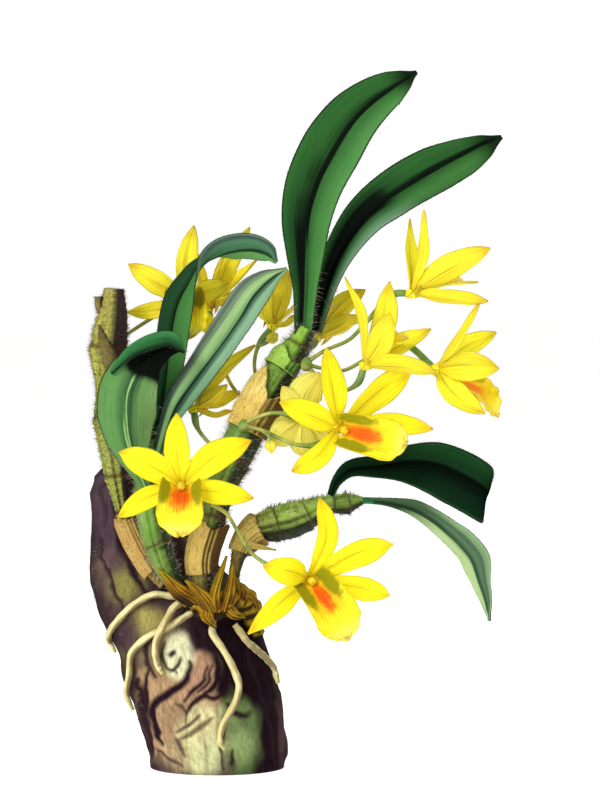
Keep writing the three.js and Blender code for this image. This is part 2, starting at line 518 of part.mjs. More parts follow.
// ---------------------------------------------------------------- blooms
// at: where the tepals join; face: where the bloom looks; tepals: middle point and tip of each sepal and
// petal, with its width as a share of TEPAL_WIDTH; lip: the tip of the lip; open: how far it is open.
const BLOOMS = {
  bloom_1: {
    at: [-10.7, -38, 98],
    face: [0, -1, 0.05],
    tepals: [
      { by: [-12, -40, 109], tip: [-12.1, -38, 121.9], wide: 0.95 },
      { by: [-21, -40, 105], tip: [-31, -37, 109], wide: 1.1 },
      { by: [0, -40, 107.5], tip: [12.2, -36.5, 112.8], wide: 1.1 },
      { by: [-22, -39, 94], tip: [-31.5, -37, 87.6], wide: 0.8 },
      { by: [1, -39, 96], tip: [13, -36.5, 93.8], wide: 0.9 },
    ],
    lip: [-11, -46, 82.6],
  },
  bloom_2: {
    at: [41, -28, 116.3],
    face: [0.55, -0.82, -0.1],
    tepals: [
      { by: [39, -29.5, 131], tip: [36.9, -27, 142.8], wide: 1.05 },
      { by: [32, -34.5, 121], tip: [21.7, -38, 125.6], wide: 1 },
      { by: [55, -20.5, 128.5], tip: [66, -15, 135.5], wide: 1.15 },
      { by: [34, -33.5, 107.5], tip: [25.7, -36, 102.6], wide: 0.95 },
      { by: [58, -22, 117.5], tip: [72.5, -17, 115.5], wide: 0.85 },
    ],
    lip: [63, -35.5, 111.8],
    open: 0.9,
  },
  bloom_3: {
    at: [31.2, -34, 67],
    face: [0.3, -0.93, -0.15],
    tepals: [
      { by: [37.3, -35, 81.5], tip: [34.8, -31, 93.5], wide: 0.85 },
      { by: [47.3, -33, 75.3], tip: [59, -29, 78], wide: 1.05 },
      { by: [24.2, -42, 70.5], tip: [16.3, -46, 72.3], wide: 1.05 },
      { by: [49, -31, 63.5], tip: [58, -28, 61], wide: 0.9 },
      { by: [22, -37.5, 59.5], tip: [11.2, -38, 49.2], wide: 0.9 },
    ],
    lip: [44, -43, 48.2],
  },
  bloom_4: {
    at: [49.7, -21, 136.7],
    face: [0.5, 0.3, 0.8],
    tepals: [
      { by: [48.2, -20, 153], tip: [43.3, -19, 166], wide: 0.8 },
      { by: [56, -15, 151], tip: [58.3, -11, 164.3], wide: 0.95, facing: [0.3, -0.9, 0.1] },
      { by: [54.5, -27, 144.5], tip: [58, -28, 154.5], wide: 1 },
      { by: [61, -26, 137], tip: [73, -25, 134.7], wide: 0.95, facing: [0, 0.8, 0.6] },
      { by: [61, -14, 143], tip: [72, -10, 148.5], wide: 0.9, facing: [-0.2, -0.8, 0.5] },
    ],
    lip: [64, -20, 146],
    open: 0.5,
  },
  bloom_5: {
    at: [65.3, -14, 160.5],
    face: [0.7, 0.25, 0.6],
    tepals: [
      { by: [68.6, -17, 175], tip: [69.5, -17, 188.3], wide: 0.8 },
      { by: [65, -11, 173], tip: [65, -9, 185.3], wide: 0.7, facing: [0.8, -0.6, 0] },
      { by: [78.3, -19.5, 169.3], tip: [91.3, -22, 175.7], wide: 1.05 },
      { by: [77.5, -17, 159], tip: [90.8, -18, 158], wide: 0.85, facing: [0.1, 0.7, 0.7] },
      { by: [77, -8, 163.5], tip: [88, -4, 164], wide: 0.7 },
    ],
    lip: [82, -12, 165],
    open: 0.5,
  },
  bloom_6: {
    at: [73.5, -18, 135.5],
    face: [0.85, 0.4, -0.2],
    tepals: [
      { by: [80.7, -17, 146], tip: [87.7, -17, 157], wide: 0.7 },
      { by: [84, -10, 142.8], tip: [94, -8, 147.3], wide: 0.85, facing: [-0.3, -0.85, -0.3] },
      { by: [83.3, -26, 137], tip: [94, -27, 136], wide: 1.15 },
      { by: [79.5, -24, 127.5], tip: [89.5, -25, 121], wide: 1, facing: [0.3, -0.85, 0.3] },
      { by: [82, -10, 129], tip: [91, -7, 123], wide: 0.8 },
    ],
    lip: [94, -18, 120],
    open: 0.62,
  },
  bloom_7: {
    at: [-10.7, -3, 158.3],
    face: [0.05, -0.97, 0.2],
    tepals: [
      { by: [-9.7, -4, 171], tip: [-7.2, -3, 183], wide: 0.8 },
      { by: [-20, -5, 164], tip: [-29.3, -4, 170], wide: 0.9 },
      { by: [-3, -3, 161], tip: [4, 0, 163.5], wide: 0.8 },
      { by: [-20, -3, 154.6], tip: [-30, 0, 153.7], wide: 0.65 },
      { by: [-4, -2, 151], tip: [2, 0, 145.5], wide: 0.7 },
    ],
    lip: [-10, -8.5, 145.5],
  },
  bloom_8: {
    at: [-2.7, 9, 155],
    face: [0.5, -0.3, 0.8],
    tepals: [
      { by: [3.5, 7, 169], tip: [11.3, 7, 182.3], wide: 0.8 },
      { by: [6.2, 5, 163.5], tip: [14, 3, 171.7], wide: 0.85 },
      { by: [-1, 5, 163.5], tip: [2.3, 3, 172], wide: 0.6 },
      { by: [-6, 11, 166], tip: [-7, 12, 175], wide: 0.75 },
      { by: [6, 14, 158], tip: [14, 16, 160], wide: 0.8 },
    ],
    lip: [4, 8, 160],
    open: 0.45,
  },
  bloom_9: {
    at: [19, 1, 148.7],
    face: [0.15, 0.3, 0.9],
    tepals: [
      { by: [15.8, -2, 155], tip: [18.8, -3, 162.3], wide: 0.7 },
      { by: [22, 2, 158], tip: [24.3, 0, 168], wide: 0.75 },
      { by: [25, 7, 154], tip: [31, 9, 160], wide: 0.75 },
      { by: [15, 7, 154], tip: [13, 10, 161], wide: 0.7 },
      { by: [24, -2, 150], tip: [27, -3.5, 153], wide: 0.45 },
    ],
    lip: [20, 5, 158],
    open: 0.45,
  },
  bloom_10: {
    at: [34, 5, 145],
    face: [0.75, 0.3, 0.55],
    tepals: [
      { by: [42, 3, 156], tip: [50.3, 2, 161.3], wide: 0.85 },
      { by: [41, 0, 149], tip: [47.8, -2, 152.8], wide: 0.7 },
      { by: [33.2, 3, 152], tip: [33.4, 2, 159.5], wide: 0.45 },
      { by: [34, 11, 155], tip: [36, 15, 163], wide: 0.8 },
      { by: [43, 11, 149], tip: [51, 14, 151], wide: 0.8 },
    ],
    lip: [43, 7, 151],
    open: 0.5,
  },
  bloom_11: {
    at: [-7.3, -8, 121.5],
    face: [0.8, 0.3, 0.5],
    tepals: [
      { by: [0.7, -7, 134], tip: [13.3, -6, 143], wide: 0.75 },
      { by: [-1.2, -12, 125.5], tip: [4, -12.5, 130], wide: 0.55 },
      { by: [-3, -4, 129], tip: [2.5, -1, 134.5], wide: 0.7 },
      { by: [0, -9, 119.5], tip: [5.5, -8, 121], wide: 0.5 },
      { by: [1, 0, 124], tip: [8, 3, 127], wide: 0.7 },
    ],
    lip: [3, -6, 126.5],
    open: 0.45,
  },
  bloom_12: {
    at: [29, -23, 119],
    face: [0.1, 0.95, 0.1],
    tepals: [
      { by: [30, -24.5, 127.5], tip: [35, -24, 134.5], wide: 1.3 },
      { by: [25.8, -24.5, 124.5], tip: [22.5, -24, 130], wide: 0.8 },
      { by: [24, -24.5, 115.5], tip: [18.5, -24.5, 110.8], wide: 1.15 },
      { by: [29, -24.5, 112], tip: [30.5, -24, 106.5], wide: 1 },
      { by: [34, -23, 115.5], tip: [38.5, -22, 109.5], wide: 1 },
    ],
    lip: [33, -15.5, 116],
    open: 0.45,
  },
};

// The hollow side of a tepal looks along the bloom's axis, squared up to the tepal.
function inward(face, from, to) {
  const run = point(to).sub(point(from)).normalize();
  const axis = point(face).normalize();
  return axis.addScaledVector(run, -axis.dot(run)).normalize().toArray();
}

// Outline of a tepal: shares of its length and of its width.
const TEPAL_OUTLINE = [[0.25, 0.84], [0.5, 1.04], [0.75, 0.8]];
const TEPAL_ARCH = [[0, 1.4], [0.5, 0.9], [1, 0.6]];

function tepal({ at, face }, { by, tip, wide, facing = inward(face, at, tip) }, grow) {
  const outward = point(by).sub(point(at)).setLength(TEPAL_SINK * CORE_RADIUS);
  const outline = TEPAL_OUTLINE.map(([t, share]) => [t, share * wide * TEPAL_WIDTH]);
  return blade({
    points: [point(at).add(outward).toArray(), by, tip],
    facings: [facing],
    widths: [[0, TEPAL_FOOT], ...outline, [1, TIP_WIDTH]],
    arch: TEPAL_ARCH,
    thick: TEPAL_THICK,
    rows: 4,
    columns: 2,
  }, grow);
}

function bloom(flower, grow = 0) {
  const { at, face, tepals } = flower;
  const axis = point(face).normalize();
  const columnTip = point(at).addScaledVector(axis, COLUMN_LENGTH).toArray();
  const radii = [COLUMN_FOOT * COLUMN_RADIUS, COLUMN_RADIUS];
  const column = stem({ points: [at, columnTip], radii, sides: THIN_SIDES, rows: 1 }, grow);
  const core = knob(at, [CORE_RADIUS, CORE_RADIUS, CORE_RADIUS], grow);
  return fuse([core, column, ...tepals.map((one) => tepal(flower, one, grow))]);
}

// The lip: its side lobes stand up beside the column as a trough, which opens into a broad frilled tongue.
// The shape is for a fully open flower; a closed one has a smaller lip that starts lower.
const LIP = {
  forward: 2.2, // from the core to the foot of the lip, along the flower's axis
  down: 1.6, // and square to it
  closedDrop: 1.8, // how much further down a lip starts that isn't open at all
  bendForward: 0.3, // the bend of the middle line, as shares of the way from the core to the tip
  bendDown: 0.42,
  widths: [[0, 12], [0.2, 16], [0.4, 16.8], [0.6, 17], [0.78, 14.5], [0.92, 8.5], [1, 3.5]],
  arch: [[0, 2.3], [0.2, 2.2], [0.4, 2], [0.6, 1.5], [0.8, 1], [1, 0.7]],
  frill: 0.5,
};

function lip({ at, face, lip: tip, open = 1 }, grow = 0) {
  const axis = point(face).normalize();
  const start = point(at);
  const run = point(tip).sub(start);
  const down = run.clone().addScaledVector(axis, -run.dot(axis)).normalize();
  const drop = LIP.down + (1 - open) * LIP.closedDrop;
  const base = start.clone().addScaledVector(axis, LIP.forward).addScaledVector(down, drop);
  const bend = start.clone().addScaledVector(axis, LIP.bendForward * run.length());
  bend.addScaledVector(run, LIP.bendDown);
  return blade({
    points: [base.toArray(), bend.toArray(), tip],
    facings: [inward(face, at, tip)],
    widths: LIP.widths.map(([t, width]) => [t, width * open]),
    arch: LIP.arch,
    thick: LIP_THICK,
    rows: 6,
    columns: 4,
    frill: LIP.frill * open,
  }, grow);
}

// ---------------------------------------------------------------- flower stalks
// Each spray: pedicels that end in a bloom, and buds, fused where they leave the cane.
const SPRAYS = {
  spray_top: {
    knobs: [[[30.5, -16.5, 137], [2, 1.8, 2.4]]],
    pedicels: [
      {
        points: [[30.5, -16.5, 137.6], [36.3, -14, 141.3], [45, -7, 145], [50, -6, 150], [59.5, -10, 160]],
        to: 'bloom_5',
      },
      {
        points: [[30.5, -16.5, 137], [35.3, -16, 135.7], [42.5, -12, 134.7], [50, -7, 138], [61.5, -8, 144]],
        to: 'bloom_6',
      },
      {
        points: [[30.5, -16.5, 136.4], [36, -18.5, 131.5], [43, -21, 128.5], [47.5, -21.5, 131]],
        to: 'bloom_4',
      },
    ],
    buds: [],
  },
  spray_middle: {
    knobs: [[[9.8, -24.6, 117], [2, 1.7, 2]]],
    pedicels: [
      {
        points: [[9.8, -24.6, 117], [16, -27, 115.5], [22, -28, 112.8], [28, -28.5, 110.8], [35, -28, 111.2]],
        to: 'bloom_2',
      },
      {
        points: [[9.8, -24.6, 117.5], [14, -26, 119.7], [19, -27, 121.3], [24.5, -26.5, 120.7]],
        to: 'bloom_12',
      },
    ],
    buds: [{ points: [[16, -27, 115.5], [18.3, -29, 113.3], [18.7, -29, 110.3]] }],
  },
  spray_back_left: {
    knobs: [],
    pedicels: [{ points: [[14.5, -10.5, 130], [13, -6, 136], [14.3, -2, 142.5]], to: 'bloom_9' }],
    buds: [{ points: [[14.3, -2, 142.5], [17, -4, 143.6], [19.3, -5.5, 145.5]] }],
  },
  stalk_8: {
    knobs: [],
    pedicels: [{ points: [[10, -10.5, 124], [5, -4, 130], [1.5, 2, 138], [-1, 6, 147]], to: 'bloom_8' }],
    buds: [],
  },
  stalk_11: {
    knobs: [],
    pedicels: [{ points: [[3, -14.5, 107], [-2, -13, 110.5], [-6, -10.5, 115.5]], to: 'bloom_11' }],
    buds: [],
  },
  stalk_3: {
    knobs: [],
    pedicels: [{
      points: [
        [-1, -25, 91], [4, -28, 88], [8, -29, 81.7], [12, -30.5, 75.5], [17, -32, 71.8], [24, -33.5, 68.5],
      ],
      to: 'bloom_3',
    }],
    buds: [],
  },
  stalk_1: {
    knobs: [],
    pedicels: [{ points: [[1.5, -24, 95.5], [-2.5, -29.5, 97.5], [-6.5, -34, 97.3]], to: 'bloom_1' }],
    buds: [],
  },
  stalk_7: {
    knobs: [],
    pedicels: [{ points: [[-32, -8, 145], [-26, 0, 149], [-18, 2.5, 154]], to: 'bloom_7' }],
    buds: [],
  },
  stalk_10: {
    knobs: [],
    pedicels: [{ points: [[28.5, -8, 141.5], [30, -2, 140.5], [32.5, 2.5, 142]], to: 'bloom_10' }],
    buds: [],
  },
};

// A pedicel is thick at its foot, thin, and thick again as the ovary under its bloom.
const PEDICEL_SHARES = [1.3, 1, 1, 1.1, 1.9, 1.6];
const BUD_STRETCH = 1.15;
const ROWS_PER_POINT = 1.6;

function spray({ knobs, pedicels, buds }, grow = 0) {
  const stalks = pedicels.map(({ points, to }) => stem({
    points: [...points, BLOOMS[to].at],
    radii: PEDICEL_SHARES.map((share) => share * PEDICEL_RADIUS),
    sides: THIN_SIDES,
    rows: Math.round(ROWS_PER_POINT * points.length),
  }, grow));
  const small = buds.flatMap(({ points }) => [
    stem({ points, radii: [PEDICEL_RADIUS, PEDICEL_RADIUS], sides: THIN_SIDES, rows: 3 }, grow),
    knob(points[points.length - 1], [BUD_RADIUS, BUD_RADIUS, BUD_STRETCH * BUD_RADIUS], grow),
  ]);
  return fuse([...stalks, ...knobs.map(([at, size]) => knob(at, size, grow)), ...small]);
}

// ---------------------------------------------------------------- colours
const LOOKS = {
  bark: { color: 0x6b5548, roughness: 0.95 },
  root: { color: 0xe6dcae, roughness: 0.7 },
  bract: { color: 0x9a6b22, roughness: 0.85 },
  cane: { color: 0x5f8f37, roughness: 0.5 },
  oldCane: { color: 0x99973f, roughness: 0.7 },
  sheath: { color: 0xc9a660, roughness: 0.85 },
  greenSheath: { color: 0x77993f, roughness: 0.6 },
  darkLeaf: { color: 0x1f5a2c, roughness: 0.35 },
  paleLeaf: { color: 0x5e9e68, roughness: 0.45 },
  tepal: { color: 0xf6e71f, roughness: 0.5 },
  lip: { color: 0xf2cf1c, roughness: 0.5 },
  stalk: { color: 0xa9b248, roughness: 0.55 },
};
// Pieces that look unlike the others of their kind.
const OTHER_LOOKS = {
  leaf_tall_left: 'darkLeaf',
  leaf_tall_right: 'darkLeaf',
  leaf_low_dark: 'darkLeaf',
  sheath_main_green: 'greenSheath',
};

// ---------------------------------------------------------------- assembly
// Every piece as a function of its growth, in the order in which it keeps its shape: each later piece is
// trimmed back from the earlier ones, so that CLEAR of air stays between them.
const GREEN_CANES = { cane_main: CANES.cane_main, cane_side: CANES.cane_side, cane_short: CANES.cane_short };
const lipOf = ([name, spec]) => [name.replace('bloom', 'lip'), spec];
const LIPS = Object.fromEntries(Object.entries(BLOOMS).map(lipOf));
const all = (table, build, look) => Object.entries(table).map(([name, spec]) => ({
  name,
  look: OTHER_LOOKS[name] ?? look,
  make: (grow) => build(spec, grow),
}));
const PIECES = [
  { name: 'log', look: 'bark', make: branch },
  { name: 'cane_old', look: 'oldCane', make: oldCane },
  ...all(GREEN_CANES, cane, 'cane'),
  ...all(SHEATHS, sheath, 'sheath'),
  { name: 'rhizome', look: 'bract', make: rhizome },
  ...all(LEAVES, leaf, 'paleLeaf'),
  ...all(BLOOMS, bloom, 'tepal'),
  ...all(LIPS, lip, 'lip'),
  ...all(SPRAYS, spray, 'stalk'),
  ...all(ROOTS, root, 'root'),
];

const meets = (a, b) => {
  const [p, q] = [a.boundingBox(), b.boundingBox()];
  return [0, 1, 2].every((k) => p.min[k] < q.max[k] && q.min[k] < p.max[k]);
};

// The largest body of a solid: what a neighbour cuts off is dropped.
const larger = (a, b) => (b.volume() > a.volume() ? b : a);
const mainBody = (made) => made.decompose().reduce(larger);

function trimmed() {
  const done = [];
  PIECES.forEach(({ name, look, make }) => {
    const neighbours = done.filter((other) => meets(make(0), other.grown));
    const body = neighbours.reduce((left, other) => left.subtract(other.grown), make(0));
    done.push({ name, look, body: mainBody(body), grown: make(CLEAR) });
  });
  return done;
}

function meshOf({ name, look, body }) {
  const { vertProperties, triVerts } = body.getMesh();
  const geometry = new THREE.BufferGeometry();
  geometry.setAttribute('position', new THREE.BufferAttribute(Float32Array.from(vertProperties), 3));
  geometry.setIndex(Array.from(triVerts));
  geometry.computeVertexNormals();
  const mesh = new THREE.Mesh(geometry, new THREE.MeshStandardMaterial({ ...LOOKS[look], metalness: 0 }));
  mesh.name = name;
  return mesh;
}

const orchid = new THREE.Group();
orchid.name = 'dendrobium_orchid';
trimmed().forEach((piece) => orchid.add(meshOf(piece)));

export default orchid;
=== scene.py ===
# %% [markdown]
# # A dendrobium orchid on its piece of branch
# A yellow-flowered orchid grows on a cut piece of branch. Four jointed canes rise from a short creeping
# stem, with leathery leaves, papery sheaths, twelve flowers on thin stalks, and cream roots that run down
# over the bark. Each solid of the frame is replaced by a finer piece that keeps its form; hairs and moss
# are added on top.

# %% Load the frame
import math
from functools import cached_property

import bmesh
import bpy
import numpy as np
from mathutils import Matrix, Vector


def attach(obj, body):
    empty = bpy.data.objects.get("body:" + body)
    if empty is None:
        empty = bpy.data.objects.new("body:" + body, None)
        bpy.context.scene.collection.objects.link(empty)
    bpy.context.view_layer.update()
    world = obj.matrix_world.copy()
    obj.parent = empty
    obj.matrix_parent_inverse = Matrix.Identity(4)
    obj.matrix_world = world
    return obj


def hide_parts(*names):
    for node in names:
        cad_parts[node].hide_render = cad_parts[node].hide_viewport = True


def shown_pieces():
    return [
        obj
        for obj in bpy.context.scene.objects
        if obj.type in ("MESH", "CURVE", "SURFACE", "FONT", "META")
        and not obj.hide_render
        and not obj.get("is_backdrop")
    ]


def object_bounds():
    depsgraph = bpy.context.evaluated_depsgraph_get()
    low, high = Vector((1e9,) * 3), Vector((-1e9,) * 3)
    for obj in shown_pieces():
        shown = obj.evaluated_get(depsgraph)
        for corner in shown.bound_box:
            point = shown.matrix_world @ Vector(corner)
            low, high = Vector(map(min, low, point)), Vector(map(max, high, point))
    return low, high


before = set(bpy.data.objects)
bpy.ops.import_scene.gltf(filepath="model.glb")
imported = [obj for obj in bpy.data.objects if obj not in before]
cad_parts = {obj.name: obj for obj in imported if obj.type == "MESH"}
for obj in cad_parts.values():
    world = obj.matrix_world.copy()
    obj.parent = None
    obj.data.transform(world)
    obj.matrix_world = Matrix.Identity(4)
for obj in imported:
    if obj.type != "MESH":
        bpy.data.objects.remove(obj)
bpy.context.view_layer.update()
print("frame:", len(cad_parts), "nodes")

# %% [markdown]
# ## The plan of the plant
# The points, in millimetres, that carry the plant: x to the right, y away from the viewer, z up, with the
# origin in the middle of the sawn foot. They are the points of the frame, so each fine piece lies where its
# solid lies.

# %% Driving sizes and points, in millimetres
MM = 0.001
TAU = 2 * math.pi
ROOT_CLEAR = 0.3
LEAF_THICK = 0.9
TEPAL_THICK = 0.64
TEPAL_WIDTH = 9
TEPAL_FOOT = 3
TEPAL_SINK = 0.55
LIP_THICK = 0.6
LOBE_RISE = 5.5
SHEATH_THICK = 0.8
SHEATH_GAP = 0.55
SCALE_THICK = 0.8
MARGIN_THINNING = 0.8
CORE_RADIUS = 2.1
COLUMN_LENGTH = 5
PEDICEL_RADIUS = 0.65
BUD_RADIUS = 2
ROOT_RADIUS = 1.25
ROOT_SHRINK = 0.94
NODE_SWELL = 0.45
NODE_SHARPNESS = 55
BARK_RELIEF = 0.7
FOOT_EASE = 3
TIP_WIDTH = 0.9
HAIR_UPRIGHT = 0.3
# How many rows and columns, or rows and sides, the large pieces have.
BRANCH_GRID = 210, 260
CANE_GRID = 190, 48
SHEATH_GRID = 30, 100
LEAF_GRID = 120, 30
FOLD_GRID = 40, 20
TEPAL_GRID = 34, 16
LIP_GRID = 48, 40

# The branch: height, x of the middle, half width, y of the middle, half depth.
LOG_SECTIONS = [
    [0, 0.3, 22.6, 0, 21.5], [8, -0.2, 24, 0, 22.5], [16, -1.8, 25, 0, 23], [25, -3.5, 25.8, 0, 23.5],
    [37, -7.2, 25.6, 0, 23.5], [45, -10.2, 26.2, 0.5, 23], [55, -14, 26.6, 2, 22],
    [62, -17.8, 24.6, 3, 19.5], [68, -21, 21.8, 4, 17], [79, -24.7, 17.2, 5.5, 14.5],
    [92, -29, 14, 7, 12.5], [98, -30.7, 10.6, 7.5, 9.5], [101, -31.2, 7, 7.8, 6],
    [102.4, -31.4, 2.5, 8, 2],
]
LOG_TOP = LOG_SECTIONS[-1][0]
# Where its rounded top starts, and the heights of the rings above that.
LOG_SHOULDER = 98
LOG_CAP = [99.3, 100.5, 101.4, 102, LOG_TOP]

# The roots: x and z of places on the front of the bark, and how far the root stands off it there.
ROOTS = {
    "root_far_left": [
        [-12.5, 59.3], [-20, 60.2], [-25.5, 57.6], [-30.5, 52.5], [-34, 46.5], [-35.6, 43.3],
        [-35.3, 39.4],
    ],
    "root_left": [
        [-8, 54.5], [-11.5, 52.3], [-15.5, 49.3], [-21, 46.8], [-26.5, 41], [-28, 33], [-29.5, 25.5],
        [-29.2, 20],
    ],
    "root_inner": [
        [-10.5, 58.7, 3], [-13.7, 56.5, 3.2], [-16.3, 51, 3.3], [-18.6, 44.3, 1.5], [-18.3, 37.5],
        [-16.8, 34.2],
    ],
    "root_middle": [
        [-0.8, 51.8], [-1.2, 47.7], [2, 42.7], [5.6, 35.7], [7.3, 30.7], [6.2, 25], [2.3, 16.7],
        [1.7, 11.7], [3, 9],
    ],
    "root_right": [[6, 50], [9.7, 44.3], [14, 40], [18.6, 34.6], [20.2, 29]],
}

ROOT_TAPER = [0.9, 1.05, 1, 1.05, 1, 0.95, 0.9, 0.55]

# The canes: middle line, radii at even steps, and where along them the rings are.
CANES = {
    "cane_main": {
        "points": [
            [-2.3, -21, 57.3], [-4.4, -21.5, 71.7], [-1.6, -20.5, 83.3], [2.3, -18.5, 96.7],
            [7.7, -16.5, 109], [13.7, -15, 120.7], [20.7, -13, 132.3], [25.7, -11.5, 139.7],
            [30.8, -11.2, 148.6],
        ],
        "radii": [3.2, 4.3, 4.4, 5.2, 6, 6.1, 5.4, 4.7, 3],
        "rings": [0.27, 0.45, 0.62, 0.78, 0.92],
    },
    "cane_side": {
        "points": [
            [5.7, -20, 61.7], [7, -20, 70], [9.3, -19, 76.7], [14, -18, 81.7], [20, -17, 83.8],
            [25, -16.5, 85], [30, -16, 86.7], [34.3, -15.5, 88.8], [39, -15, 90.2], [43.3, -14.5, 90.3],
            [46.7, -14, 91], [49.3, -14, 91.3],
        ],
        "radii": [1.7, 2, 3.1, 4.4, 5.7, 6, 5.2, 4, 3, 3.4, 2.5, 1.3],
        "rings": [0.36, 0.55, 0.73, 0.84],
    },
    "cane_old": {
        "points": [
            [-16.9, -18.5, 63.3], [-21.7, -17, 69.5], [-26.7, -14.7, 78], [-30.3, -12.3, 86.7],
            [-31.5, -12, 94], [-32.8, -12, 104], [-35.3, -12, 116.7], [-36.7, -12, 128.3],
            [-35.7, -12, 141.7], [-34.3, -12, 153.3], [-33.7, -12, 162],
        ],
        "radii": [1.8, 2.8, 2.9, 2.4, 3.4, 4.9, 5, 3.2, 6.2, 5, 3.2],
        "rings": [0.3, 0.45, 0.62, 0.8],
    },
    "cane_short": {
        "points": [
            [-11, -22.5, 61.7], [-15.3, -23.8, 68.3], [-18.7, -22, 76.7], [-21, -18, 86.7],
            [-22.5, -15.5, 96.7], [-22, -15, 105], [-20, -15, 111.7],
        ],
        "radii": [2.4, 3.6, 4.3, 5, 4.4, 3.8, 3],
        "rings": [0.32, 0.62, 0.85],
    },
}

STUB = {
    "points": [[-35, -12.5, 152], [-38.3, -13, 156], [-38.6, -13, 159.5]],
    "radii": [2, 1.7, 1.6],
}

# The sheaths: cane, start and end along it, angle they span, turn, depth of the torn rim, flare.
SHEATHS = {
    "sheath_main_low": ("cane_main", 0.09, 0.265, 5.2, 0, 0.012, 0.5),
    "sheath_main_high": ("cane_main", 0.56, 0.755, 4.4, -0.5, 0.04, 1),
    "sheath_main_green": ("cane_main", 0.785, 0.9, 3.4, -1, 0.03, 0.8),
    "sheath_side": ("cane_side", 0.15, 0.29, 5, 0.3, 0.008, 0.6),
    "sheath_old": ("cane_old", 0.07, 0.29, 3.8, -0.9, 0.012, 0.7),
}

# The creeping stem, and the dry pointed scales on it: the middle line of each and its width.
RHIZOME = {
    "points": [
        [-12, -20.5, 60], [-7, -22, 58.5], [-1.5, -22.5, 56.5], [4, -20.5, 57.5], [8, -17, 59.5],
        [11.5, -13.5, 55], [14, -9.5, 46],
    ],
    "radii": [2.4, 3.3, 4.2, 4.2, 4.2, 3.8, 2.2],
}

BRACTS = [
    ([[-6, -25, 57.5], [-12, -27.5, 62], [-18.5, -28, 69.5]], 6.5),
    ([[-1, -26.5, 54.5], [-4, -28.3, 60], [-9.5, -28.5, 66]], 6),
    ([[0.5, -26, 55], [0, -28, 61], [4, -27.3, 74]], 4),
    ([[3, -24.5, 55], [5, -26, 62], [6, -26.5, 71]], 4.5),
    ([[6, -20.5, 57], [8.5, -22, 61], [6.5, -24, 67]], 4),
    ([[7, -20.5, 60], [11.5, -17.5, 57], [14.6, -12.5, 47]], 6),
    ([[-3, -25, 57], [-2.5, -27.5, 53.5], [0.5, -26.5, 50]], 5),
    ([[3.5, -23.5, 57], [6.5, -25, 54], [10, -23.5, 53]], 4.5),
]

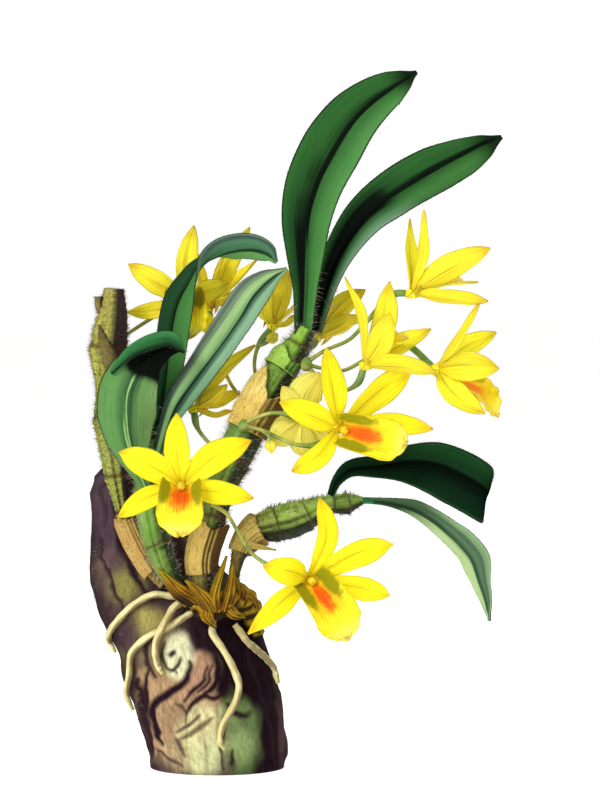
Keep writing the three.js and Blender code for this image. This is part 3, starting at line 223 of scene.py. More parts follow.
# The leaves: middle line, the side the hollow face looks at, widths at even steps, and arch.
LEAVES = {
    "leaf_tall_left": {
        "points": [
            [29.3, -12, 146.9], [30, -13, 161], [30, -13, 174.7], [30.3, -12.5, 185.3], [32.7, -12, 196.3],
            [38.3, -11, 208], [45, -10, 218], [51.7, -9, 224.3], [58.7, -8, 229], [63.7, -7, 232],
            [67.3, -6, 234.3],
        ],
        "facings": [[0, -1, 0], [0.1, -1, 0.1], [0.2, -1, 0.15]],
        "widths": [7, 8.8, 14, 17.5, 20, 21.2, 19, 15.8, 12, 6.5, TIP_WIDTH],
        "arch": [[0, 2.2], [0.15, 1.3], [1, 0.7]],
    },
    "leaf_tall_right": {
        "points": [
            [33.5, -7, 147.3], [36.5, -6.5, 160], [41.5, -6, 173], [50, -5.5, 185.3], [61, -5, 193.5],
            [72, -4.2, 199.8], [82.5, -3.4, 205.2], [90.5, -2.6, 209.6], [96, -2, 212.6],
        ],
        "facings": [[-0.3, -1, 0.2], [-0.25, -0.9, 0.35], [-0.3, -0.9, 0.4]],
        "widths": [6.5, 9, 12, 15.4, 18, 18.8, 15.8, 9, TIP_WIDTH],
        "arch": [[0, 2.2], [0.2, 1.5], [1, 0.7]],
    },
    "leaf_arching": {
        "points": [
            [-19, -14.5, 112.6], [-17.3, -14.5, 121.7], [-15.7, -14.5, 133.3], [-14.3, -14, 145],
            [-12, -13, 156.7], [-8.3, -12.5, 164.3], [-4, -13, 171], [2.3, -15.5, 174.5], [8.7, -18, 176],
            [13.7, -20, 175.7], [17.7, -21.5, 174], [20.5, -22.5, 171],
        ],
        "facings": [
            [0.1, -1, 0], [0, -1, 0.1], [-0.1, -0.9, 0.3], [-0.6, -0.4, 0.7], [-0.1, 0.8, 0.55],
            [0, 0.95, 0.3], [0, 1, 0.2],
        ],
        "widths": [5, 8, 10, 11.3, 11.3, 10.5, 10, 10.2, 10.4, 9.4, 6.5, TIP_WIDTH],
        "arch": [[0, 2], [0.2, 1.1], [1, 0.8]],
    },
    "leaf_long": {
        "points": [
            [-19.3, -20.2, 105.5], [-17.2, -20.5, 112.5], [-14.3, -20.5, 121.3], [-11.7, -20.5, 126.3],
            [-6, -21, 134.7], [1.3, -21.5, 145], [7, -21.5, 153.3], [12.3, -21, 161], [17.7, -20, 165.7],
            [24, -18.5, 168.9],
        ],
        "facings": [[0.3, 0.9, -0.2]],
        "widths": [3.5, 5.5, 8, 9.8, 11.5, 13, 13.2, 12, 8, TIP_WIDTH],
        "arch": [[0, 2], [0.2, 1.2], [1, 0.8]],
    },
    "leaf_broad": {
        "points": [
            [-23, -20.6, 96], [-27, -25.5, 107], [-28.7, -26.5, 115], [-29, -27, 121.3],
            [-28.6, -27, 127.7], [-26.5, -27, 133.3], [-22.5, -27.5, 138.5], [-16.5, -28, 141.8],
            [-10.5, -28.5, 142.5],
        ],
        "facings": [[0, 1, 0]],
        "widths": [4, 12, 17.8, 21, 20.8, 18.5, 13, 6.5, TIP_WIDTH],
        "arch": [[0, 2.4], [0.2, 1.2], [1, 0.8]],
        "fold": {
            "points": [[-34, -26.5, 134.5], [-27.5, -29, 141], [-20, -30.5, 144.5], [-14.3, -30.5, 145.3],
                       [-9.8, -30, 141.5]],
            "facings": [[0, -0.6, 0.8]],
            "widths": [2, 6.5, 8.5, 8, TIP_WIDTH],
            "arch": [[0, 1], [1, 0.8]],
        },
    },
    "leaf_low_dark": {
        "points": [
            [38.8, -20.2, 93.3], [40.8, -20, 98], [45, -20, 101.7], [55, -20.5, 102.5], [64.3, -21, 103.3],
            [73, -21.5, 102], [81, -21, 98.2], [87.6, -18, 94.2], [90.3, -10, 91.8], [90.4, -0.5, 90.5],
        ],
        "facings": [
            [-0.6, -0.8, 0.3], [-0.3, -0.8, 0.55], [-0.1, -0.85, 0.5], [0, -0.85, 0.5], [0.15, -0.85, 0.4],
            [0.75, -0.55, -0.1], [1, -0.1, -0.35],
        ],
        "widths": [3.4, 4.4, 6.5, 9.5, 15.5, 19.8, 20.8, 20, 14, 1.2],
        "arch": [[0, 2.2], [0.2, 1.2], [1, 0.6]],
    },
    "leaf_low_pale": {
        "points": [
            [49.9, -14, 91.3], [55.7, -14.5, 90.9], [60.7, -15, 90], [66.7, -16, 88.3],
            [72.3, -17.5, 85.2], [77.3, -19, 81.3], [82, -20.5, 77], [85.7, -21.5, 72.3],
            [88.2, -22, 64.7], [90.3, -22, 58], [91.3, -21.5, 51.7],
        ],
        "facings": [[0.1, 0.9, 0.3], [0.25, 0.9, 0.3], [0.35, 0.85, 0.2]],
        "widths": [2.4, 3, 4.2, 6.4, 8, 9.8, 11.2, 11.2, 7.2, 4.2, TIP_WIDTH],
        "arch": [[0, 1.6], [0.2, 1.4], [1, 0.9]],
    },
}

# The flowers: where the tepals join, where they look, the tip of the lip, and how far a flower is open.
# Each tepal: a point on its way, its tip, its share of the full width, and where its hollow side looks if
# that isn't forward.
BLOOMS = {
    "bloom_1": {
        "at": [-10.7, -38, 98], "face": [0, -1, 0.05],
        "tepals": [
            ([-12, -40, 109], [-12.1, -38, 121.9], 0.95),
            ([-21, -40, 105], [-31, -37, 109], 1.1),
            ([0, -40, 107.5], [12.2, -36.5, 112.8], 1.1),
            ([-22, -39, 94], [-31.5, -37, 87.6], 0.8),
            ([1, -39, 96], [13, -36.5, 93.8], 0.9),
        ],
        "lip": [-11, -46, 82.6],
    },
    "bloom_2": {
        "at": [41, -28, 116.3], "face": [0.55, -0.82, -0.1],
        "tepals": [
            ([39, -29.5, 131], [36.9, -27, 142.8], 1.05),
            ([32, -34.5, 121], [21.7, -38, 125.6], 1),
            ([55, -20.5, 128.5], [66, -15, 135.5], 1.15),
            ([34, -33.5, 107.5], [25.7, -36, 102.6], 0.95),
            ([58, -22, 117.5], [72.5, -17, 115.5], 0.85),
        ],
        "lip": [63, -35.5, 111.8], "open": 0.9,
    },
    "bloom_3": {
        "at": [31.2, -34, 67], "face": [0.3, -0.93, -0.15],
        "tepals": [
            ([37.3, -35, 81.5], [34.8, -31, 93.5], 0.85),
            ([47.3, -33, 75.3], [59, -29, 78], 1.05),
            ([24.2, -42, 70.5], [16.3, -46, 72.3], 1.05),
            ([49, -31, 63.5], [58, -28, 61], 0.9),
            ([22, -37.5, 59.5], [11.2, -38, 49.2], 0.9),
        ],
        "lip": [44, -43, 48.2],
    },
    "bloom_4": {
        "at": [49.7, -21, 136.7], "face": [0.5, 0.3, 0.8],
        "tepals": [
            ([48.2, -20, 153], [43.3, -19, 166], 0.8),
            ([56, -15, 151], [58.3, -11, 164.3], 0.95, [0.3, -0.9, 0.1]),
            ([54.5, -27, 144.5], [58, -28, 154.5], 1),
            ([61, -26, 137], [73, -25, 134.7], 0.95, [0, 0.8, 0.6]),
            ([61, -14, 143], [72, -10, 148.5], 0.9, [-0.2, -0.8, 0.5]),
        ],
        "lip": [64, -20, 146], "open": 0.5,
    },
    "bloom_5": {
        "at": [65.3, -14, 160.5], "face": [0.7, 0.25, 0.6],
        "tepals": [
            ([68.6, -17, 175], [69.5, -17, 188.3], 0.8),
            ([65, -11, 173], [65, -9, 185.3], 0.7, [0.8, -0.6, 0]),
            ([78.3, -19.5, 169.3], [91.3, -22, 175.7], 1.05),
            ([77.5, -17, 159], [90.8, -18, 158], 0.85, [0.1, 0.7, 0.7]),
            ([77, -8, 163.5], [88, -4, 164], 0.7),
        ],
        "lip": [82, -12, 165], "open": 0.5,
    },
    "bloom_6": {
        "at": [73.5, -18, 135.5], "face": [0.85, 0.4, -0.2],
        "tepals": [
            ([80.7, -17, 146], [87.7, -17, 157], 0.7),
            ([84, -10, 142.8], [94, -8, 147.3], 0.85, [-0.3, -0.85, -0.3]),
            ([83.3, -26, 137], [94, -27, 136], 1.15),
            ([79.5, -24, 127.5], [89.5, -25, 121], 1, [0.3, -0.85, 0.3]),
            ([82, -10, 129], [91, -7, 123], 0.8),
        ],
        "lip": [94, -18, 120], "open": 0.62,
    },
    "bloom_7": {
        "at": [-10.7, -3, 158.3], "face": [0.05, -0.97, 0.2],
        "tepals": [
            ([-9.7, -4, 171], [-7.2, -3, 183], 0.8),
            ([-20, -5, 164], [-29.3, -4, 170], 0.9),
            ([-3, -3, 161], [4, 0, 163.5], 0.8),
            ([-20, -3, 154.6], [-30, 0, 153.7], 0.65),
            ([-4, -2, 151], [2, 0, 145.5], 0.7),
        ],
        "lip": [-10, -8.5, 145.5],
    },
    "bloom_8": {
        "at": [-2.7, 9, 155], "face": [0.5, -0.3, 0.8],
        "tepals": [
            ([3.5, 7, 169], [11.3, 7, 182.3], 0.8),
            ([6.2, 5, 163.5], [14, 3, 171.7], 0.85),
            ([-1, 5, 163.5], [2.3, 3, 172], 0.6),
            ([-6, 11, 166], [-7, 12, 175], 0.75),
            ([6, 14, 158], [14, 16, 160], 0.8),
        ],
        "lip": [4, 8, 160], "open": 0.45,
    },
    "bloom_9": {
        "at": [19, 1, 148.7], "face": [0.15, 0.3, 0.9],
        "tepals": [
            ([15.8, -2, 155], [18.8, -3, 162.3], 0.7),
            ([22, 2, 158], [24.3, 0, 168], 0.75),
            ([25, 7, 154], [31, 9, 160], 0.75),
            ([15, 7, 154], [13, 10, 161], 0.7),
            ([24, -2, 150], [27, -3.5, 153], 0.45),
        ],
        "lip": [20, 5, 158], "open": 0.45,
    },
    "bloom_10": {
        "at": [34, 5, 145], "face": [0.75, 0.3, 0.55],
        "tepals": [
            ([42, 3, 156], [50.3, 2, 161.3], 0.85),
            ([41, 0, 149], [47.8, -2, 152.8], 0.7),
            ([33.2, 3, 152], [33.4, 2, 159.5], 0.45),
            ([34, 11, 155], [36, 15, 163], 0.8),
            ([43, 11, 149], [51, 14, 151], 0.8),
        ],
        "lip": [43, 7, 151], "open": 0.5,
    },
    "bloom_11": {
        "at": [-7.3, -8, 121.5], "face": [0.8, 0.3, 0.5],
        "tepals": [
            ([0.7, -7, 134], [13.3, -6, 143], 0.75),
            ([-1.2, -12, 125.5], [4, -12.5, 130], 0.55),
            ([-3, -4, 129], [2.5, -1, 134.5], 0.7),
            ([0, -9, 119.5], [5.5, -8, 121], 0.5),
            ([1, 0, 124], [8, 3, 127], 0.7),
        ],
        "lip": [3, -6, 126.5], "open": 0.45,
    },
    "bloom_12": {
        "at": [29, -23, 119], "face": [0.1, 0.95, 0.1],
        "tepals": [
            ([30, -24.5, 127.5], [35, -24, 134.5], 1.3),
            ([25.8, -24.5, 124.5], [22.5, -24, 130], 0.8),
            ([24, -24.5, 115.5], [18.5, -24.5, 110.8], 1.15),
            ([29, -24.5, 112], [30.5, -24, 106.5], 1),
            ([34, -23, 115.5], [38.5, -22, 109.5], 1),
        ],
        "lip": [33, -15.5, 116], "open": 0.45,
    },
}

# The flower stalks: knobs on the cane (middle, half width, half height), stalks (points on the way to a
# flower), and buds (points on the way to each).
SPRAYS = {
    "spray_top": {
        "knobs": [([30.5, -16.5, 137], 2, 2.4)],
        "stalks": [
            ([[30.5, -16.5, 137.6], [36.3, -14, 141.3], [45, -7, 145], [50, -6, 150], [59.5, -10, 160]],
             "bloom_5"),
            ([[30.5, -16.5, 137], [35.3, -16, 135.7], [42.5, -12, 134.7], [50, -7, 138], [61.5, -8, 144]],
             "bloom_6"),
            ([[30.5, -16.5, 136.4], [36, -18.5, 131.5], [43, -21, 128.5], [47.5, -21.5, 131]], "bloom_4"),
        ],
    },
    "spray_middle": {
        "knobs": [([9.8, -24.6, 117], 2, 2)],
        "stalks": [
            ([[9.8, -24.6, 117], [16, -27, 115.5], [22, -28, 112.8], [28, -28.5, 110.8], [35, -28, 111.2]],
             "bloom_2"),
            ([[9.8, -24.6, 117.5], [14, -26, 119.7], [19, -27, 121.3], [24.5, -26.5, 120.7]], "bloom_12"),
        ],
        "buds": [[[16, -27, 115.5], [18.3, -29, 113.3], [18.7, -29, 110.3]]],
    },
    "spray_back_left": {
        "stalks": [([[14.5, -10.5, 130], [13, -6, 136], [14.3, -2, 142.5]], "bloom_9")],
        "buds": [[[14.3, -2, 142.5], [17, -4, 143.6], [19.3, -5.5, 145.5]]],
    },
}
# The stalks that carry one flower each, under that flower's number.
STALKS = {
    8: [[10, -10.5, 124], [5, -4, 130], [1.5, 2, 138], [-1, 6, 147]],
    11: [[3, -14.5, 107], [-2, -13, 110.5], [-6, -10.5, 115.5]],
    3: [[-1, -25, 91], [4, -28, 88], [8, -29, 81.7], [12, -30.5, 75.5], [17, -32, 71.8], [24, -33.5, 68.5]],
    1: [[1.5, -24, 95.5], [-2.5, -29.5, 97.5], [-6.5, -34, 97.3]],
    7: [[-32, -8, 145], [-26, 0, 149], [-18, 2.5, 154]],
    10: [[28.5, -8, 141.5], [30, -2, 140.5], [32.5, 2.5, 142]],
}
SPRAYS |= {f"stalk_{number}": {"stalks": [(points, f"bloom_{number}")]} for number, points in STALKS.items()}

# The lip: how far its foot lies from the core along the flower's axis and square to it, how much further
# down a closed lip starts, the bend of its middle line as shares of the way to the tip, its widths up to
# the tip, and its arch.
LIP_SHAPE = {
    "forward": 2.2,
    "down": 1.6,
    "closed_drop": 1.8,
    "bend_forward": 0.3,
    "bend_down": 0.42,
    "widths": [[0, 12], [0.2, 16], [0.4, 16.8], [0.6, 17], [0.78, 14.5], [0.92, 8.5]],
    "arch": [[0, 2.3], [0.2, 2.2], [0.4, 2], [0.6, 1.5], [0.8, 1], [1, 0.7]],
}
# A dry spike below the sheath of the side cane.
SPIKE = [[8, -22.5, 78.5], [13, -24, 77], [20.5, -24, 75.6]]
# What is left of a leaf base on the old cane.
SCAR = [[-32.8, -18.7, 134.5], [-35.8, -18.6, 142], [-38.6, -17, 150]]
# Where the foot of a leaf clasps its cane: middle line and radii.
HEELS = {
    "leaf_low_pale": ([[47.6, -14, 91.1], [50.5, -14, 91.3], [54, -14.3, 91.1]], [1.3, 1.1, 0.6]),
    "leaf_arching": ([[-19.8, -15, 110], [-19.2, -14.7, 113.5], [-18.6, -14.5, 118]], [2.8, 2.4, 1]),
}
print("plan:", len(CANES), "canes,", len(LEAVES), "leaves,", len(BLOOMS), "flowers")

# %% [markdown]
# ## Curves and numbers
# A stem or leaf is a row of places along a smooth curve. Widths and radii are given at a few stops and
# eased between them, so that an outline has no corners. The noise is a grid of fixed random numbers, eased
# between its corners, so the same place always gives the same value.

# %% Curve, easing and noise helpers
def unit(vectors):
    return vectors / np.maximum(np.linalg.norm(vectors, axis=-1, keepdims=True), 1e-9)


def route(points, t):
    """Places on the smooth curve through the points, at the shares t of its stops."""
    p = np.asarray(points, float)
    spot = np.clip(np.asarray(t, float), 0, 1) * (len(p) - 1)
    i = np.minimum(spot.astype(int), len(p) - 2)
    w = (spot - i)[:, None]
    padded = np.vstack([2 * p[0] - p[1], p, 2 * p[-1] - p[-2]])
    p0, p1, p2, p3 = (padded[i + k] for k in range(4))

    def gap(a, b):
        return np.sqrt(np.linalg.norm(b - a, axis=1, keepdims=True))

    d1 = gap(p1, p2)
    d1 = np.where(d1 < 1e-4, 1, d1)
    d0, d2 = gap(p0, p1), gap(p2, p3)
    d0, d2 = np.where(d0 < 1e-4, d1, d0), np.where(d2 < 1e-4, d1, d2)
    m1 = ((p1 - p0) / d0 - (p2 - p0) / (d0 + d1) + (p2 - p1) / d1) * d1
    m2 = ((p2 - p1) / d1 - (p3 - p1) / (d1 + d2) + (p3 - p2) / d2) * d1
    return p1 + m1 * w + (3 * (p2 - p1) - 2 * m1 - m2) * w**2 + (2 * (p1 - p2) + m1 + m2) * w**3


def frames(points, t, facing):
    """Place, tangent, normal and side on a curve; the normal is the facing squared up to the tangent."""
    at = route(points, t)
    tiny = 1e-4
    tangent = unit(route(points, np.minimum(t + tiny, 1)) - route(points, np.maximum(t - tiny, 0)))
    normal = unit(facing - tangent * np.sum(facing * tangent, axis=1, keepdims=True))
    return at, tangent, normal, unit(np.cross(tangent, normal))


def eased(stops, t):
    """A number that runs smoothly through the stops [[share, value], ...] without overshooting them."""
    x, y = np.array(stops, float).T
    slope = np.diff(y) / np.diff(x)
    both = slope[:-1] + slope[1:]
    inner = np.where(slope[:-1] * slope[1:] > 0, 2 * slope[:-1] * slope[1:] / np.where(both == 0, 1, both), 0)
    m = np.concatenate([slope[:1], inner, slope[-1:]])
    t = np.clip(t, x[0], x[-1])
    i = np.clip(np.searchsorted(x, t, side="right") - 1, 0, len(x) - 2)
    h = x[i + 1] - x[i]
    w = (t - x[i]) / h
    return ((1 + 2 * w) * (1 - w) ** 2 * y[i] + w * (1 - w) ** 2 * h * m[i]
            + w * w * (3 - 2 * w) * y[i + 1] + w * w * (w - 1) * h * m[i + 1])


def spread(values):
    return [[i / (len(values) - 1), value] for i, value in enumerate(values)]


def hump(x, middle, width):
    return np.exp(-(((x - middle) / width) ** 2))


def step(x, low, high):
    """A smooth step from 0 to 1 as x goes from low to high."""
    w = np.clip((x - low) / (high - low), 0, 1)
    return w * w * (3 - 2 * w)


def rough(points, size, seed=0):
    """Smooth noise from -1 to 1 whose lumps are about size across."""
    p = np.asarray(points, float) / size + 19.7 * seed
    cell = np.floor(p).astype(np.int64)
    f = p - cell
    f = f * f * (3 - 2 * f)
    total = np.zeros(p.shape[:-1])
    for corner in np.ndindex(2, 2, 2):
        weight = np.prod(np.where(corner, f, 1 - f), axis=-1)
        key = (cell + corner) @ np.array([73856093, 19349663, 83492791])
        key = ((key ^ (key >> 13)) * 1274126177) & 0x7FFFFFFF
        key = ((key ^ (key >> 15)) * 668265263) & 0x7FFFFFFF
        total += weight * (key / 0x3FFFFFFF - 1)
    return total


def stroke(points, path, half):
    """How much each point lies under a tapering stroke of the front view, whose path is a list of (x, z)."""
    track = route([(x, 0, z) for x, z in path], np.linspace(0, 1, 12 * len(path)))[:, [0, 2]]
    flat = points[:, [0, 2]]
    near = np.full(len(points), 1e9)
    widths = half * (0.25 + 0.75 * np.sin(np.pi * np.linspace(0.02, 0.98, len(track) - 1)) ** 0.7)
    for a, b, width in zip(track[:-1], track[1:], widths):
        run = b - a
        share = np.clip(((flat - a) @ run) / max(run @ run, 1e-9), 0, 1)
        near = np.minimum(near, np.linalg.norm(flat - a - share[:, None] * run, axis=1) - width)
    soft = 0.45 + 0.5 * half
    return 1 - step(near, -soft / 2, soft)


# %% [markdown]
# ## Skins
# Every piece is made of closed shells: rings of points joined round and capped at both ends. A round stem
# has circles for rings. A thin sheet, such as a leaf, has flat rings that run along its face and come back
# along its reverse. Each point keeps a mark, 0 on the face and 1 on the reverse, and each corner keeps its
# place across and along. Each point also keeps the way in which a hair would stand there, and how near it
# is to the margin.

# %% The skin builder
GROWTH = {}


class Skin:
    """Gathers shells into one mesh with UVs, one mark per point and a material number per face."""

    def __init__(self):
        self.points, self.faces, self.uvs, self.marks, self.slots = [], [], [], [], []
        self.combs, self.rims = [], []
        self.size = 0

    def shell(self, rings, u, v, mark=0.0, slot=0, flat=False, combs=None, rims=0.0):
        """Rings (rows, n, 3) joined round. u has n + 1 values round a ring, v one per row."""
        rows, n = rings.shape[:2]
        i, j = (grid.ravel() for grid in np.meshgrid(np.arange(rows - 1), np.arange(n), indexing="ij"))
        k = (j + 1) % n
        low, high = i * n + self.size, (i + 1) * n + self.size
        faces = np.stack([low + j, low + k, high + k, high + j], -1).tolist()
        wide = np.stack([u[j], u[j + 1], u[j + 1], u[j]], -1)
        long = np.stack([v[i], v[i], v[i + 1], v[i + 1]], -1)
        uvs = np.stack([wide, long], -1).reshape(-1, 2).tolist()
        if combs is None:
            combs = unit(rings - rings.mean(axis=1, keepdims=True))
        points, combs = rings.reshape(-1, 3), combs.reshape(-1, 3)
        marks = np.broadcast_to(mark, (rows, n)).reshape(-1)
        rims = np.broadcast_to(rims, (rows, n)).reshape(-1)
        for end, row in ((0, 0), (1, rows - 1)):
            first = self.size + row * n
            if flat:
                for a in range(n // 2 - 1):
                    b = n - 1 - a
                    cap = [a, a + 1, b - 1, b] if end else [a + 1, a, b, b - 1]
                    faces.append([first + c for c in cap])
                    uvs.extend([u[c], v[row]] for c in cap)
            else:
                hub = self.size + len(points)
                points = np.vstack([points, rings[row].mean(axis=0)])
                combs = np.vstack([combs, combs[row * n]])
                marks = np.append(marks, marks[row * n])
                rims = np.append(rims, 0)
                for a in range(n):
                    b = (a + 1) % n
                    faces.append([hub, first + a, first + b] if end else [hub, first + b, first + a])
                    uvs.extend([[u[a], v[row]]] * 3)
        self.points.append(points)
        self.combs.append(combs)
        self.marks.append(marks)
        self.rims.append(rims)
        self.faces += faces
        self.uvs += uvs
        self.slots += [slot] * len(faces)
        self.size += len(points)

    def piece(self, name, materials, node, slot):
        """Makes the mesh object, in metres, lets it ride on the plant and take the place of a node."""
        mesh = bpy.data.meshes.new(name)
        points, marks = np.vstack(self.points), np.concatenate(self.marks)
        mesh.from_pydata((points * MM).tolist(), [], self.faces)
        layer = mesh.uv_layers.new(name="UVMap")
        layer.uv.foreach_set("vector", np.array(self.uvs, np.float32).ravel())
        keep(mesh, "mark", "FLOAT", "value", marks)
        mesh.polygons.foreach_set("use_smooth", [True] * len(mesh.polygons))
        mesh.polygons.foreach_set("material_index", self.slots)
        outward(mesh)
        for material in materials:
            mesh.materials.append(material)
        GROWTH[name] = points, np.vstack(self.combs), marks, np.concatenate(self.rims)
        piece = add(name, mesh)
        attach(piece, "root")
        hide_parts(node)
        return piece


def add(name, data):
    """A new object in the scene."""
    thing = bpy.data.objects.new(name, data)
    bpy.context.scene.collection.objects.link(thing)
    return thing


def keep(mesh, name, kind, field, values):
    """Stores values per point in the mesh."""
    mesh.attributes.new(name, kind, "POINT").data.foreach_set(field, values.astype(np.float32).ravel())


def outward(mesh):
    """Turns every face of the closed shells outwards."""
    work = bmesh.new()
    work.from_mesh(mesh)
    bmesh.ops.recalc_face_normals(work, faces=work.faces)
    work.to_mesh(mesh)
    work.free()


def sheet(skin, middle, half, u, v, slot=0):
    """A thin sheet from its middle points (rows, columns, 3) and half thickness (rows, columns)."""
    across = unit(np.gradient(middle, axis=1))
    normal = unit(np.cross(across, np.gradient(middle, axis=0)))
    lift = normal * half[..., None]
    rings = np.concatenate([middle + lift, (middle - lift)[:, ::-1]], axis=1)
    mark = np.concatenate([np.zeros(len(u)), np.ones(len(u))])
    rim = np.abs(2 * u - 1)
    aside = across * (2 * np.sign(2 * u - 1) * rim**6)[None, :, None]
    combs = np.concatenate([unit(normal + aside), unit(aside - normal)[:, ::-1]], axis=1)
    skin.shell(rings, np.concatenate([u, u[::-1], u[:1]]), v, mark[None, :], slot, True, combs,
               np.concatenate([rim, rim[::-1]])[None, :])


def blade(skin, points, facings, widths, arch, thick, grid, bend=None, slot=0, slide=None):
    """A leaf, tepal or scale: a strip along a curve, hollow towards its facing side, thinner at its margins.
    bend(t, u) lifts the strip off that form and slide(t, u) moves it on along the curve, in millimetres."""
    rows, columns = grid
    t = np.linspace(0, 1, rows + 1)
    u = np.linspace(0, 1, columns + 1)
    facing = route(facings, t) if len(facings) > 1 else np.tile(np.array(facings[0], float), (rows + 1, 1))
    at, tangent, normal, side = frames(points, t, facing)
    angle = eased(arch, t)[:, None]
    radius = eased(widths, t)[:, None] / angle
    phi = (u[None, :] - 0.5) * angle
    lift = radius * (1 - np.cos(phi)) + (bend(t[:, None], u[None, :]) if bend else 0)
    aside = radius * np.sin(phi)
    middle = at[:, None] + side[:, None] * aside[..., None] + normal[:, None] * lift[..., None]
    if slide:
        middle = middle + tangent[:, None] * slide(t[:, None], u[None, :])[..., None]
    edge = np.abs(2 * u - 1)[None, :]
    half = thick / 2 * (1 - MARGIN_THINNING * edge**5) * np.ones((rows + 1, 1))
    sheet(skin, middle, half, u, t, slot)


def tube(skin, points, radii, sides, rows, swell=None, slot=0, mark=0.0):
    """A round stem along a curve. swell(t, angle) adds to its radius, in millimetres."""
    t = np.linspace(0, 1, rows + 1)
    facing = np.tile(unit(np.array([0.2, 1, 0.1])), (rows + 1, 1))
    at, tangent, normal, side = frames(points, t, facing)
    angle = np.arange(sides) * TAU / sides
    radius = eased(spread(radii), t)[:, None] + 0 * angle[None, :]
    if swell:
        radius = radius + swell(t[:, None], angle[None, :])
    out = normal[:, None] * np.cos(angle)[None, :, None] + side[:, None] * np.sin(angle)[None, :, None]
    rings = at[:, None] + out * radius[..., None]
    combs = unit(out + HAIR_UPRIGHT * tangent[:, None])
    skin.shell(rings, np.linspace(0, 1, sides + 1), t, mark, slot, False, combs)


# %% [markdown]
# ## Materials
# Plant surfaces are never one flat colour. Shared node groups give what several surfaces need: veins that
# run along a leaf or petal, and mottling from noise. Each material then sets its own colours, gloss and
# relief.

# %% Shader helpers and shared groups
# How deep light goes into petals, paper and stalks, in metres.
GLOW_DEPTH = 0.002
# The strength of the noise at which a patch of the mottling is half there.
MOTTLE_LEVEL = 0.68


def put(tree, kind, inputs=(), **settings):
    """Adds a node, sets its settings, and links or sets its inputs, given by position or name."""
    node = tree.nodes.new(kind)
    for key, value in settings.items():
        setattr(node, key, value)
    for key, value in dict(inputs).items():
        if isinstance(value, bpy.types.NodeSocket):
            tree.links.new(value, node.inputs[key])
        else:
            node.inputs[key].default_value = value
    return node


def colour(code):
    """An sRGB colour code as linear values."""
    parts = [int(code[i:i + 2], 16) / 255 for i in (0, 2, 4)]
    return (*[c / 12.92 if c <= 0.04045 else ((c + 0.055) / 1.055) ** 2.4 for c in parts], 1)


def maths(tree, operation, *values):
    return put(tree, "ShaderNodeMath", enumerate(values), operation=operation).outputs[0]


